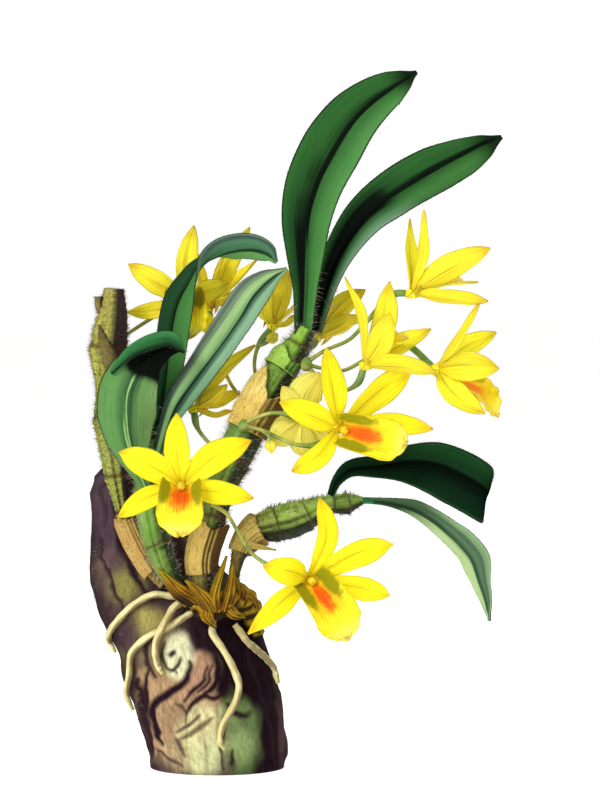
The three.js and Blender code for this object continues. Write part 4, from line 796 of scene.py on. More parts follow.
class Paint:
    """A material with short calls for its nodes."""

    def __init__(self, name, **numbers):
        self.material = bpy.data.materials.new(name)
        self.material.use_nodes = True
        self.tree = self.material.node_tree
        self.shader = self.tree.nodes["Principled BSDF"]
        for key, value in numbers.items():
            self.shader.inputs[key.replace("_", " ")].default_value = value

    @cached_property
    def where(self):
        return put(self.tree, "ShaderNodeTexCoord").outputs["Object"]

    @cached_property
    def place(self):
        uv = put(self.tree, "ShaderNodeUVMap", uv_map="UVMap").outputs[0]
        return put(self.tree, "ShaderNodeSeparateXYZ", {0: uv}).outputs

    @property
    def across(self):
        return self.place[0]

    @property
    def along(self):
        return self.place[1]

    @cached_property
    def mark(self):
        return put(self.tree, "ShaderNodeAttribute", attribute_name="mark").outputs["Fac"]

    @cached_property
    def off(self):
        """-1 at one margin of a blade, 0 in its middle, 1 at the other margin."""
        return self.calc("MULTIPLY_ADD", self.across, 2.0, -1.0)

    @cached_property
    def edge(self):
        """0 in the middle of a blade, 1 at both margins."""
        return self.calc("ABSOLUTE", self.off)

    def calc(self, operation, *values):
        return maths(self.tree, operation, *values)

    def times(self, a, b):
        return self.calc("MULTIPLY", a, b)

    def towards(self, x, y, z):
        """1 where the surface looks along the given way, -1 where it looks the other way."""
        normal = put(self.tree, "ShaderNodeNewGeometry").outputs["Normal"]
        return put(self.tree, "ShaderNodeVectorMath", {0: normal, 1: tuple(unit(np.array([x, y, z])))},
                   operation="DOT_PRODUCT").outputs["Value"]

    def noise(self, scale, detail=3.0, distortion=0.0, vector=None):
        return put(self.tree, "ShaderNodeTexNoise", {"Vector": vector or self.where, "Scale": scale,
                   "Detail": detail, "Distortion": distortion}).outputs[0]

    def grain(self, across, along, detail=3.0, distortion=0.0):
        """Noise drawn out along the piece: how many lumps of it lie across and along."""
        lumps = {0: self.times(self.across, across), 1: self.times(self.along, along), 2: 0.0}
        return self.noise(1.0, detail, distortion, put(self.tree, "ShaderNodeCombineXYZ", lumps).outputs[0])

    def fade(self, value, low, high, bottom=0.0, top=1.0):
        """A smooth step from bottom to top as the value goes from low to high."""
        return put(self.tree, "ShaderNodeMapRange", {0: value, 1: low, 2: high, 3: bottom, 4: top},
                   interpolation_type="SMOOTHSTEP").outputs[0]

    def mix(self, share, a, b, blend="MIX"):
        return put(self.tree, "ShaderNodeMix", {0: share, 6: a, 7: b}, data_type="RGBA",
                   blend_type=blend).outputs[2]

    def over(self, base, code, mask, share=None):
        """The colour code laid over the base where the mask is high, as strongly as the share says."""
        return self.mix(mask if share is None else self.times(mask, share), base, colour(code))

    def spot(self, x, y, centre, radius, soft):
        """An oval spot: 1 in its middle, 0 outside. soft tells how far its rim reaches inwards."""
        far = [self.calc("DIVIDE", self.calc("SUBTRACT", value, middle), reach)
               for value, middle, reach in zip((x, y), centre, radius)]
        spread_out = self.calc("ADD", *(self.times(part, part) for part in far))
        return self.fade(spread_out, 1.1 - soft, 1.1, 1.0, 0.0)

    def bands(self, value, stops):
        """Colours laid side by side: stops are (place, colour code), and the value picks the place."""
        node = put(self.tree, "ShaderNodeValToRGB", {0: value})
        ramp = node.color_ramp
        ramp.interpolation = "EASE"
        for order, (place, code) in enumerate(stops):
            stop = ramp.elements[order] if order < 2 else ramp.elements.new(place)
            stop.position, stop.color = place, colour(code)
        return node.outputs[0]

    def veins(self, count, sharpness):
        return self.group(VEINS, Across=self.across, Along=self.along, Count=count, Sharpness=sharpness)

    def mottle(self, size, contrast):
        return self.group(MOTTLE, Vector=self.where, Size=size, Contrast=contrast)

    def group(self, tree, **inputs):
        return put(self.tree, "ShaderNodeGroup", inputs, node_tree=tree).outputs[0]

    def finish(self, base, height=None, strength=0.5, distance=0.0003, roughness=None):
        self.tree.links.new(base, self.shader.inputs["Base Color"])
        if roughness is not None:
            self.tree.links.new(roughness, self.shader.inputs["Roughness"])
        if height is not None:
            relief = {"Height": height, "Strength": strength, "Distance": distance}
            bump = put(self.tree, "ShaderNodeBump", relief).outputs[0]
            self.tree.links.new(bump, self.shader.inputs["Normal"])
        return self.material


def new_group(name, inputs, output):
    tree = bpy.data.node_groups.new(name, "ShaderNodeTree")
    for key, kind, value in inputs:
        socket = tree.interface.new_socket(key, in_out="INPUT", socket_type=kind)
        socket.default_value = value
    tree.interface.new_socket(output, in_out="OUTPUT", socket_type="NodeSocketFloat")
    return tree, put(tree, "NodeGroupInput").outputs, put(tree, "NodeGroupOutput").inputs


def veins_group():
    """Fine lines along a blade: Across and Along in, a mask of lines out."""
    tree, come, go = new_group("veins along", [
        ("Across", "NodeSocketFloat", 0.0), ("Along", "NodeSocketFloat", 0.0),
        ("Count", "NodeSocketFloat", 20.0), ("Sharpness", "NodeSocketFloat", 2.0)], "Mask")
    where = put(tree, "ShaderNodeCombineXYZ", {0: come[0], 1: come[1]}).outputs[0]
    drift = put(tree, "ShaderNodeTexNoise", {"Vector": where, "Scale": 3.0, "Detail": 2.0}).outputs[0]
    turns = maths(tree, "MULTIPLY_ADD", drift, 1.2, maths(tree, "MULTIPLY", come[0], come[2]))
    wave = maths(tree, "COSINE", maths(tree, "MULTIPLY", turns, TAU))
    sharp = maths(tree, "POWER", maths(tree, "MULTIPLY_ADD", wave, 0.5, 0.5), come[3])
    tree.links.new(sharp, go[0])
    return tree


def mottle_group():
    """Two sizes of noise laid over each other: a mask of soft patches with fine grain in them."""
    tree, come, go = new_group("mottled", [
        ("Vector", "NodeSocketVector", (0, 0, 0)), ("Size", "NodeSocketFloat", 100.0),
        ("Contrast", "NodeSocketFloat", 0.5)], "Mask")
    broad = put(tree, "ShaderNodeTexNoise", {"Vector": come[0], "Scale": come[1], "Detail": 4.0}).outputs[0]
    size = maths(tree, "MULTIPLY", come[1], 6.0)
    fine = put(tree, "ShaderNodeTexNoise", {"Vector": come[0], "Scale": size, "Detail": 3.0}).outputs[0]
    both = maths(tree, "MULTIPLY_ADD", fine, 0.35, broad)
    low, high = (maths(tree, operation, MOTTLE_LEVEL, come[2]) for operation in ("SUBTRACT", "ADD"))
    spots = put(tree, "ShaderNodeMapRange", {0: both, 1: low, 2: high}).outputs[0]
    tree.links.new(spots, go[0])
    return tree


VEINS = veins_group()
MOTTLE = mottle_group()
print("shared shader groups:", VEINS.name, "and", MOTTLE.name)

# %% [markdown]
# ## The branch
# A thick piece of old branch, sawn flat at its foot and rounded off at its top, leaning to the left. Its
# bark is dark purple-brown, worn down to pale, swirling wood in front, with green algae and a crust of
# lichen. The relief is computed for each point: slanting swirls and knuckles, then finer ridges from noise.
# Cracks and old wounds are strokes: lines of the front view that sink into the bark and darken it.

# %% Build the branch
# Patches of the bark: x and z of their middle, their half sizes, colour, strength, softness of the edge.
BARK_PATCHES = [
    (12, 26, 12, 31, "140810", 1.0, 0.2), (1, 48, 11, 7, "1c1018", 1.0, 0.3),
    (22.3, 17, 1.3, 14, "7a585a", 0.5, 0.4), (-17.5, 21, 10, 17.5, "b8966e", 1.0, 0.15),
    (-20, 42, 8, 9, "8c7a56", 0.7, 0.4), (-25, 11, 2.6, 12, "3a242a", 0.8, 0.5),
    (-7, 24, 8, 5.5, "b8966e", 0.9, 0.35), (-12, 7, 6, 6, "c4ad80", 0.8, 0.5),
    (8.2, 13, 6.8, 14, "5c7040", 1.0, 0.3), (9, 10.5, 4.6, 6, "8ba064", 0.9, 0.5),
    (5.5, 21, 4, 4, "8ba064", 0.6, 0.6), (-4.8, 12.5, 8, 11, "dcd49c", 1.0, 0.3),
    (-2, 6, 6, 6, "c9cf9a", 0.7, 0.5), (-4.8, 33.5, 5.2, 7.2, "b48c6e", 1.0, 0.25),
    (-12.3, 41.3, 4.8, 7.5, "e2e0b4", 1.0, 0.25), (-29.5, 63, 6, 6, "8f8a48", 0.9, 0.7),
    (-22, 51.8, 6.5, 5, "aaa058", 0.9, 0.6), (-37, 88, 7.5, 15, "4f3d49", 0.9, 0.4),
    (-34, 72, 4, 5, "6a5658", 0.6, 0.6), (-17, 60, 9, 5, "3a2830", 0.8, 0.6),
    (-30, 48, 4, 6, "4a3640", 0.7, 0.5),
]
# Strokes on the bark: places (x, z) on the way, half width, colour, depth in millimetres.
BARK_STROKES = [
    ([(-8.3, 38.3), (-9.7, 32), (-15.8, 27.3), (-20.5, 23.3), (-21, 17.8), (-19.7, 13.1), (-17.4, 10.3)], 1.2,
     "1e0f1a", 0.7),
    ([(-2.5, 36.7), (-3.7, 32), (-7.2, 28.8), (-10.7, 24.5)], 0.55, "2c1620", 0.3),
    ([(-1.1, 37), (-2.2, 31.5), (-5.8, 28)], 0.45, "3a2028", 0.25),
    ([(3.8, 28.8), (0.7, 26.5), (-4, 26.5), (-8, 23.7), (-10, 20.2)], 0.65, "20101a", 0.5),
    ([(-11.5, 39.5), (-12.3, 37.1), (-14.7, 34.7)], 0.5, "3a2228", 0.4),
    ([(-14.6, 41), (-14.2, 40.4)], 0.6, "3a2228", 0.4),
    ([(-11.1, 12.3), (-7.8, 14.2), (-4.5, 16.6), (-1, 19.3)], 0.8, "7d6a4e", 0.3),
    ([(-12, 15), (-8, 17.6), (-5, 20.4)], 0.45, "6a5444", 0.3),
    ([(-12.7, 12.3), (-11.6, 9.5), (-9.7, 6.7)], 0.8, "6a5444", 0.35),
    ([(5.8, 8.3), (5.7, 5.5), (5.2, 3)], 0.5, "2c1c1a", 0.4),
    ([(-26.8, 31), (-24.9, 22), (-23.4, 12), (-22.4, 4)], 1.5, "2a161e", 0.4),
    ([(4, 24), (6.5, 21), (11, 20)], 0.9, "2a1c22", 0.4),
    ([(-23, 60), (-27, 66), (-31.5, 75), (-34, 86), (-33.5, 97)], 1.2, "271820", 0.5),
    ([(-29, 54), (-33.5, 60), (-37, 69), (-39.5, 78)], 0.6, "33222c", 0.3),
    ([(-20, 33), (-22.5, 37), (-23, 43), (-20.5, 47)], 0.9, "3a222a", 0.4),
    ([(-38, 82), (-37, 87), (-38.5, 93), (-36.5, 98)], 0.6, "3d2b36", 0.3),
    ([(-16.6, 45), (-17.3, 40.5), (-15.9, 36.6), (-12.9, 34)], 0.45, "2e1c22", 0.3),
    ([(0.6, 39.5), (1.2, 34.5), (-0.4, 30), (-3.8, 27.3)], 0.9, "170b12", 0.4),
    ([(3.3, 20), (2.9, 14), (1.9, 8), (2.6, 1.5)], 0.5, "33361c", 0.4),
    ([(-22.8, 35), (-24.2, 29), (-23.2, 22), (-24, 16)], 0.8, "24141c", 0.4),
    ([(-13, 24.5), (-10.5, 22), (-9.8, 17.5)], 0.4, "5a4038", 0.25),
    ([(-20.5, 8), (-16, 5.5), (-11, 3)], 0.6, "5a4038", 0.3),
]


def log_section(z):
    table = np.array(LOG_SECTIONS)
    return [np.interp(z, table[:, 0], table[:, k]) for k in (1, 2, 3, 4)]


def bark(angle, z):
    """The swirls and knuckles of the frame's bark, in millimetres."""
    swirl = np.sin(3 * angle + z * 0.16 + 1.3 * np.sin(z * 0.09 + angle))
    knuckle = np.sin(5 * angle - z * 0.23 + 2) * np.sin(z * 0.14 + 1)
    return BARK_RELIEF * step(z, 0, 6) * (0.7 * swirl + 0.6 * knuckle)


def over_bark(x, z, height):
    """The point at a height over the front of the bark, above a place of the front view."""
    cx, hw, cy, hd = log_section(z)
    angle = -np.arccos(np.clip((x - cx) / hw, -0.96, 0.96))
    normal = unit(np.array([np.cos(angle) * hd, np.sin(angle) * hw, 0]))
    at = np.array([cx + hw * np.cos(angle), cy + hd * np.sin(angle), z])
    return at + normal * (bark(angle, z) + height)


def towards_colour(tint, code, share):
    return tint + (np.array(colour(code)[:3]) - tint) * share[:, None]


def bark_colours(points, under):
    """A colour per point: broad patches over dark bark, blended by noise, painted shade towards both sides of
    the front, then the strokes.
    """
    x, y, z = points.T
    front = 1 - step(y, 2, 9)
    lumps = rough(points, 9, 1) + 0.5 * rough(points, 3.5, 2)
    grain = rough(points * [1, 1, 0.4], 2.2, 8)
    tint = np.tile(np.array(colour("3f2e34")[:3]), (len(points), 1))
    tint = towards_colour(tint, "7a6254", np.clip(0.15 + 0.45 * lumps + 0.2 * grain, 0, 0.8))
    tint = towards_colour(tint, "6f763f", 0.5 * step(rough(points, 14, 5), 0.2, 0.8))
    for px, pz, rx, rz, code, strength, soft in BARK_PATCHES:
        far = np.sqrt(((x - px) / rx) ** 2 + ((z - pz) / rz) ** 2) + 0.22 * lumps + 0.08 * grain
        tint = towards_colour(tint, code, strength * (1 - step(far, 1 - soft, 1 + soft)) * front)
    swirl = np.sin(1.7 * x + 1.1 * z + 5 * rough(points, 9, 6)) + 0.5 * grain
    worn = front * step(-x, -4, 2) * (1 - step(z, 38, 46))
    tint = towards_colour(tint, "6a4a44", 0.3 * worn * step(swirl, 0.7, 1.2))
    cx, hw, *_ = log_section(z)
    # Painted shade: the front darkens towards both sides of the branch, where it turns away from the light.
    tint = towards_colour(tint, "180c12", 0.7 * front * step(np.abs(x - cx) / hw, 0.78, 1.0))
    for (*_, code, _), share in zip(BARK_STROKES, under):
        tint = towards_colour(tint, code, share)
    return tint


def bark_strokes(points):
    """How much each point lies under each of the strokes."""
    front = 1 - step(points[:, 1], 0, 8)
    near = points + 0.8 * rough(points, 2.5, 9)[:, None]
    return [front * stroke(near, path, half) for path, half, *_ in BARK_STROKES]


def build_branch():
    rows, sides = BRANCH_GRID
    z = np.concatenate([np.linspace(0, LOG_SHOULDER, rows), LOG_CAP])[:, None]
    angle = (np.arange(sides) * TAU / sides)[None, :]
    cx, hw, cy, hd = log_section(z)
    base = np.stack([cx + hw * np.cos(angle), cy + hd * np.sin(angle), z + 0 * angle], -1)
    foot = np.clip(z / FOOT_EASE, 0, 1)
    ridges = 1 - np.abs(rough(base * [1, 1, 0.4], 5, 3))
    crumbs = rough(base, 1.8, 4)
    worn = hump(base[..., 0], -8, 17) * hump(base[..., 2], 22, 24) * (base[..., 1] < 0)
    fine = (0.75 * (ridges - 0.8) * (1 - 0.8 * worn) + 0.1 * crumbs * (1 - 0.7 * worn)) * foot
    grooves = 0.35 * worn * np.sin(0.9 * base[..., 0] + 0.45 * base[..., 2] + 3 * rough(base, 11, 6))
    under = bark_strokes(base.reshape(-1, 3))
    sunk = sum(share * depth for share, (*_, depth) in zip(under, BARK_STROKES)).reshape(base.shape[:2])
    out = bark(angle, z) + fine + (grooves - sunk) * foot
    rings = np.stack([cx + (hw + out) * np.cos(angle), cy + (hd + out) * np.sin(angle), z + 0 * angle], -1)
    skin = Skin()
    skin.shell(rings, np.linspace(0, 1, sides + 1), z[:, 0] / LOG_TOP)
    piece = skin.piece("branch", [bark_material()], "log", "bark")
    points = np.vstack(skin.points)
    ends = len(points) - rings.shape[0] * sides
    tint = bark_colours(points, [np.concatenate([share, np.zeros(ends)]) for share in under])
    keep(piece.data, "tint", "FLOAT_COLOR", "color", np.hstack([tint, np.ones((len(tint), 1))]))
    return piece


def bark_material():
    paint = Paint("bark", Roughness=0.9, Specular_IOR_Level=0.04)
    tint = put(paint.tree, "ShaderNodeAttribute", attribute_name="tint").outputs["Color"]
    long = put(paint.tree, "ShaderNodeMapping", {"Vector": paint.where, "Scale": (1, 1, 0.3)}).outputs[0]
    fibres = paint.noise(900.0, 4.0, 1.5, long)
    wave = put(paint.tree, "ShaderNodeTexWave", {"Vector": long, "Scale": 42.0, "Distortion": 14.0,
               "Detail": 3.0, "Detail Scale": 1.2}, bands_direction="DIAGONAL").outputs["Fac"]
    lines = paint.fade(wave, 0.03, 0.25)
    shaded = paint.over(tint, "2a1820", paint.fade(fibres, 0.35, 0.6, 0.3, 0.0))
    cut = paint.over(shaded, "382428", paint.calc("MULTIPLY_ADD", lines, -0.25, 0.25))
    spotted = paint.mix(paint.fade(paint.noise(1300.0, 2.0), 0.64, 0.74, 0.0, 0.25), cut, tint)
    height = paint.calc("MULTIPLY_ADD", fibres, 0.7, paint.times(lines, 0.3))
    return paint.finish(spotted, height, 0.7, 0.0006)


branch = build_branch()
print("branch:", len(branch.data.polygons), "faces")

# %% [markdown]
# ## The canes
# A dendrobium stores water in jointed stems. Each joint is a short internode that ends in a ring, the scar
# of an old leaf. Young canes are green and smooth, with shallow furrows; the old, leafless one on the left
# is dry, olive and finely wrinkled across. A cane is a stem whose radius swells at its rings and shrinks in
# its furrows.

# %% Build the canes
# Colours from foot to top, colour of the shaded side and the way it looks, strength of the cross lines, and
# roughness.
CANE_LOOKS = {
    "cane_main": ([(0.0, "8a7a36"), (0.12, "a39a4a"), (0.3, "8aa046"), (0.5, "6f9a3c"), (0.8, "7aa636"),
                   (0.9, "92c43e"), (1.0, "a2d648")], "16260e", (0.9, -0.3, -0.45), 0.05, 0.42),
    "cane_side": ([(0.0, "8a7434"), (0.12, "a58d44"), (0.28, "bccc62"), (0.4, "a4c45c"), (0.7, "9abc54"),
                   (1.0, "94b650")], "0c1a0a", (0.25, -0.3, -0.9), 0.06, 0.42),
    "cane_old": ([(0.0, "a8894e"), (0.2, "bca85a"), (0.3, "a2aa46"), (0.6, "9ea448"), (0.72, "b4b650"),
                  (1.0, "b4ae52")], "2c1a24", (0.95, -0.25, 0.0), 0.4, 0.75),
    "cane_short": ([(0.0, "7f8a3c"), (0.15, "7a9a3f"), (0.5, "6f9f3c"), (1.0, "5f943a")], "0f260f",
                   (0.8, -0.3, -0.4), 0.05, 0.42),
}


def joints(rings, t, height=NODE_SWELL, sharp=NODE_SHARPNESS):
    """How far the rings of a cane stand out at t, in millimetres."""
    return sum(height * np.exp(-(((t - ring) * sharp) ** 2)) for ring in rings)


def cane_material(name, tones, deep, shaded_side, wrinkles, gloss):
    paint = Paint(name, Roughness=gloss, Specular_IOR_Level=0.1)
    streaks = paint.grain(26.0, 5.0)
    tint = paint.over(paint.bands(paint.along, tones), deep, paint.fade(streaks, 0.48, 0.72, 0.0, 0.3))
    tint = paint.over(tint, "cfd98a", paint.fade(streaks, 0.45, 0.3, 0.0, 0.25))
    furrows = paint.veins(7.0, 12.0)
    tint = paint.over(tint, deep, furrows, 0.3)
    lines = paint.fade(paint.grain(14.0, 330.0, 2.0, 0.4), 0.5, 0.6)
    tint = paint.over(tint, deep, lines, wrinkles)
    tint = paint.over(tint, deep, paint.mottle(130.0, 0.2), 0.14)
    tint = paint.over(tint, deep, paint.fade(paint.towards(*shaded_side), 0.0, 0.7, 0.0, 0.97))
    tint = paint.over(tint, "4a3018", paint.mark, 0.85)
    height = paint.calc("MULTIPLY_ADD", furrows, -0.5, paint.times(lines, -0.8 * wrinkles))
    return paint.finish(tint, height, 0.5, 0.0004)


def paper_material(name, light, dark, rib, strength, right):
    paint = Paint(name, Roughness=0.8, Specular_IOR_Level=0.15, Subsurface_Weight=0.1,
                  Subsurface_Scale=GLOW_DEPTH)
    tint = paint.over(colour(light), dark, paint.mottle(160.0, 0.3))
    # Painted shade: the right-hand colour takes over where the sheath turns to the right, away from the
    # light.
    shade_turn = paint.calc("MULTIPLY_ADD", paint.noise(300.0), 0.3, paint.towards(1.0, -0.25, -0.1))
    tint = paint.over(tint, right, paint.fade(shade_turn, 0.35, 0.85))
    fibres = paint.grain(110.0, 3.0)
    near_rim = paint.fade(paint.along, 0.3, 1.0, 0.5 * strength, strength)
    tint = paint.over(tint, rib, paint.fade(fibres, 0.5, 0.66), near_rim)
    tint = paint.over(tint, rib, paint.fade(paint.noise(1500.0, 1.0), 0.62, 0.7, 0.0, strength))
    # Painted shade: the rib colour darkens the parts of the sheet that face right and down.
    tint = paint.over(tint, rib, paint.fade(paint.towards(0.85, -0.3, -0.5), 0.35, 0.9, 0.0, 0.8))
    burnt = paint.fade(paint.along, 0.88, 1.0, 0.0, 0.6)
    tint = paint.over(tint, rib, burnt, paint.fade(paint.noise(700.0), 0.4, 0.6))
    return paint.finish(tint, fibres, 0.7, 0.0004)


def cane_slot(name):
    return "old_cane" if name == "cane_old" else "green_cane"


def build_cane(name):
    spec = CANES[name]
    old = name == "cane_old"
    rows, sides = CANE_GRID
    t = np.linspace(0, 1, rows + 1)

    def swell(t, angle):
        furrows = 0.16 * np.sin(7 * angle + 3 * t) + 0.1 * np.sin(12 * angle - 5 * t)
        wrinkle = (0.14 if old else 0.03) * np.sin(t * (260 if old else 130) + 2 * np.sin(3 * angle))
        notch = joints(spec["rings"], t - 0.012, -0.35, 130)
        body = (1.6 if old else 1) * furrows * np.sin(np.pi * np.clip(t * 1.02, 0, 1))
        return joints(spec["rings"], t) + notch + body + wrinkle

    scars = joints([ring + 0.01 for ring in spec["rings"]], t, 0.9, 110)
    skin = Skin()
    tube(skin, spec["points"], spec["radii"], sides, rows, swell, mark=scars[:, None])
    materials = [cane_material(name, *CANE_LOOKS[name])]
    if old:
        tube(skin, STUB["points"], STUB["radii"], 20, 16, slot=1)
        widths, arch = [[0, 8], [0.5, 5.5], [1, 0.6]], [[0, 1.4], [1, 0.8]]
        blade(skin, SCAR, [[0, 1, 0]], widths, arch, 0.6, (24, 16), slot=1)
        materials.append(paper_material("old scar", "94884a", "746232", "23161a", 0.9, "3c3024"))
    return skin.piece(name.replace("cane_", "stem_"), materials, name, cane_slot(name))


canes = {name: build_cane(name) for name in CANES}
print("canes:", ", ".join(canes))

# %% [markdown]
# ## The papery sheaths
# The base of every leaf wraps the cane as a sheath. It dries to tan paper, ribbed lengthwise, with a torn
# upper rim. Each one is a thin sheet rolled round its cane, with a ragged rim that the ribs follow.

# %% Build the sheaths
# Light and dark colour, colour of the ribs, how strong they are, colour of the right-hand part. The
# right-hand colour is painted shade where a sheath turns away from the light, and the rib colour also paints
# shade on the parts that face right and down.
SHEATH_LOOKS = {
    "sheath_main_low": ("d8ba68", "c4a44e", "5a3c1a", 0.5, "2e3410"),
    "sheath_main_high": ("fae084", "dcb854", "5f4218", 0.6, "7c6c30"),
    "sheath_main_green": ("acd25a", "8ebc4a", "3a5a1c", 0.3, "3a6426"),
    "sheath_side": ("e6d078", "c8a850", "5f4420", 0.55, "8a6a30"),
    "sheath_old": ("d2b068", "b08a44", "4a3018", 0.55, "7a5a30"),
}


def build_sheath(name):
    cane, start, end, span, turn, tear, flare = SHEATHS[name]
    carrier = CANES[cane]
    rows, columns = SHEATH_GRID
    v = np.linspace(0, 1, rows + 1)
    u = np.linspace(0, 1, columns + 1)
    phi = ((u - 0.5) * span + turn)[None, :]
    torn = np.stack([u * 60, 0 * u, 0 * u], -1)
    ragged = 0.004 * rough(torn, 1.3, 7)[None, :] + 0.003 * rough(torn, 0.5, 8)[None, :]
    rim = end - tear * (1 + np.sin(phi * 3.1 + 1)) + ragged
    t = start + (rim - start) * v[:, None]
    flat = t.ravel()
    facing = np.tile([0.0, -1, 0], (flat.size, 1))
    at, _, normal, side = (part.reshape(*t.shape, 3) for part in frames(carrier["points"], flat, facing))
    out = normal * np.cos(phi)[..., None] + side * np.sin(phi)[..., None]
    lift = SHEATH_GAP + SHEATH_THICK / 2 + flare * v[:, None] ** 2
    straight = np.interp(flat, np.linspace(0, 1, len(carrier["radii"])), carrier["radii"]).reshape(t.shape)
    ribs = 0.12 * np.cos(phi * 9 + 0.6 * np.sin(9 * t)) + 0.07 * np.cos(phi * 23)
    radius = straight + joints(carrier["rings"], t) + lift + ribs
    skin = Skin()
    edge = np.abs(2 * u - 1)[None, :]
    half = SHEATH_THICK / 2 * (1 - 0.7 * edge**8) * (1 - 0.6 * v[:, None] ** 4)
    sheet(skin, at + out * radius[..., None], half, u, v)
    if name == "sheath_side":
        blade(skin, SPIKE, [[0, -1, 0.3]], [[0, 3], [0.4, 2.6], [1, 0.4]], [[0, 1.6], [1, 1]], 0.7, (20, 10))
    slot = "green_sheath" if name == "sheath_main_green" else "dry_sheath"
    look = paper_material(name, *SHEATH_LOOKS[name])
    return skin.piece(name.replace("sheath_", "paper_"), [look], name, slot)


sheaths = {name: build_sheath(name) for name in SHEATHS}
print("sheaths:", len(sheaths))

# %% [markdown]
# ## The creeping stem and its scales
# The canes join at a short, knobbly creeping stem, half buried in dry pointed scales of ochre and
# orange-brown.

# %% Build the creeping stem
def scale_material():
    paint = Paint("scales", Roughness=0.75, Specular_IOR_Level=0.1)
    tint = paint.over(colour("ac861a"), "8c5a14", paint.mottle(190.0, 0.16))
    ribs = paint.veins(6.0, 4.0)
    tint = paint.over(tint, "2e1806", ribs, 0.75)
    tint = paint.over(tint, "8f8218", paint.fade(paint.along, 0.45, 1.0, 0.0, 0.6))
    # Painted shade on the undersides of the creeping stem and its scales.
    tint = paint.over(tint, "140a04", paint.fade(paint.towards(0.3, -0.1, -0.95), 0.15, 0.7, 0.0, 0.95))
    return paint.finish(tint, ribs, 0.8, 0.0005)


def build_rhizome():
    skin = Skin()
    tube(skin, RHIZOME["points"], RHIZOME["radii"], 36, 90,
         lambda t, angle: 0.35 * np.sin(t * 70) + 0.3 * np.sin(5 * angle + 9 * t))
    for points, width in BRACTS:
        blade(skin, points, [[0.1, 1, 0.3]], [[0, width], [0.4, width], [0.75, 0.6 * width], [1, 0.3]],
              [[0, 1.8], [1, 0.8]], SCALE_THICK, (26, 14),
              lambda t, u: -0.35 * hump(u, 0.5, 0.12) + 0.15 * np.cos(22 * u))
    return skin.piece("creeping_stem", [scale_material()], "rhizome", "rhizome")


rhizome = build_rhizome()
print("creeping stem:", len(rhizome.data.polygons), "faces")
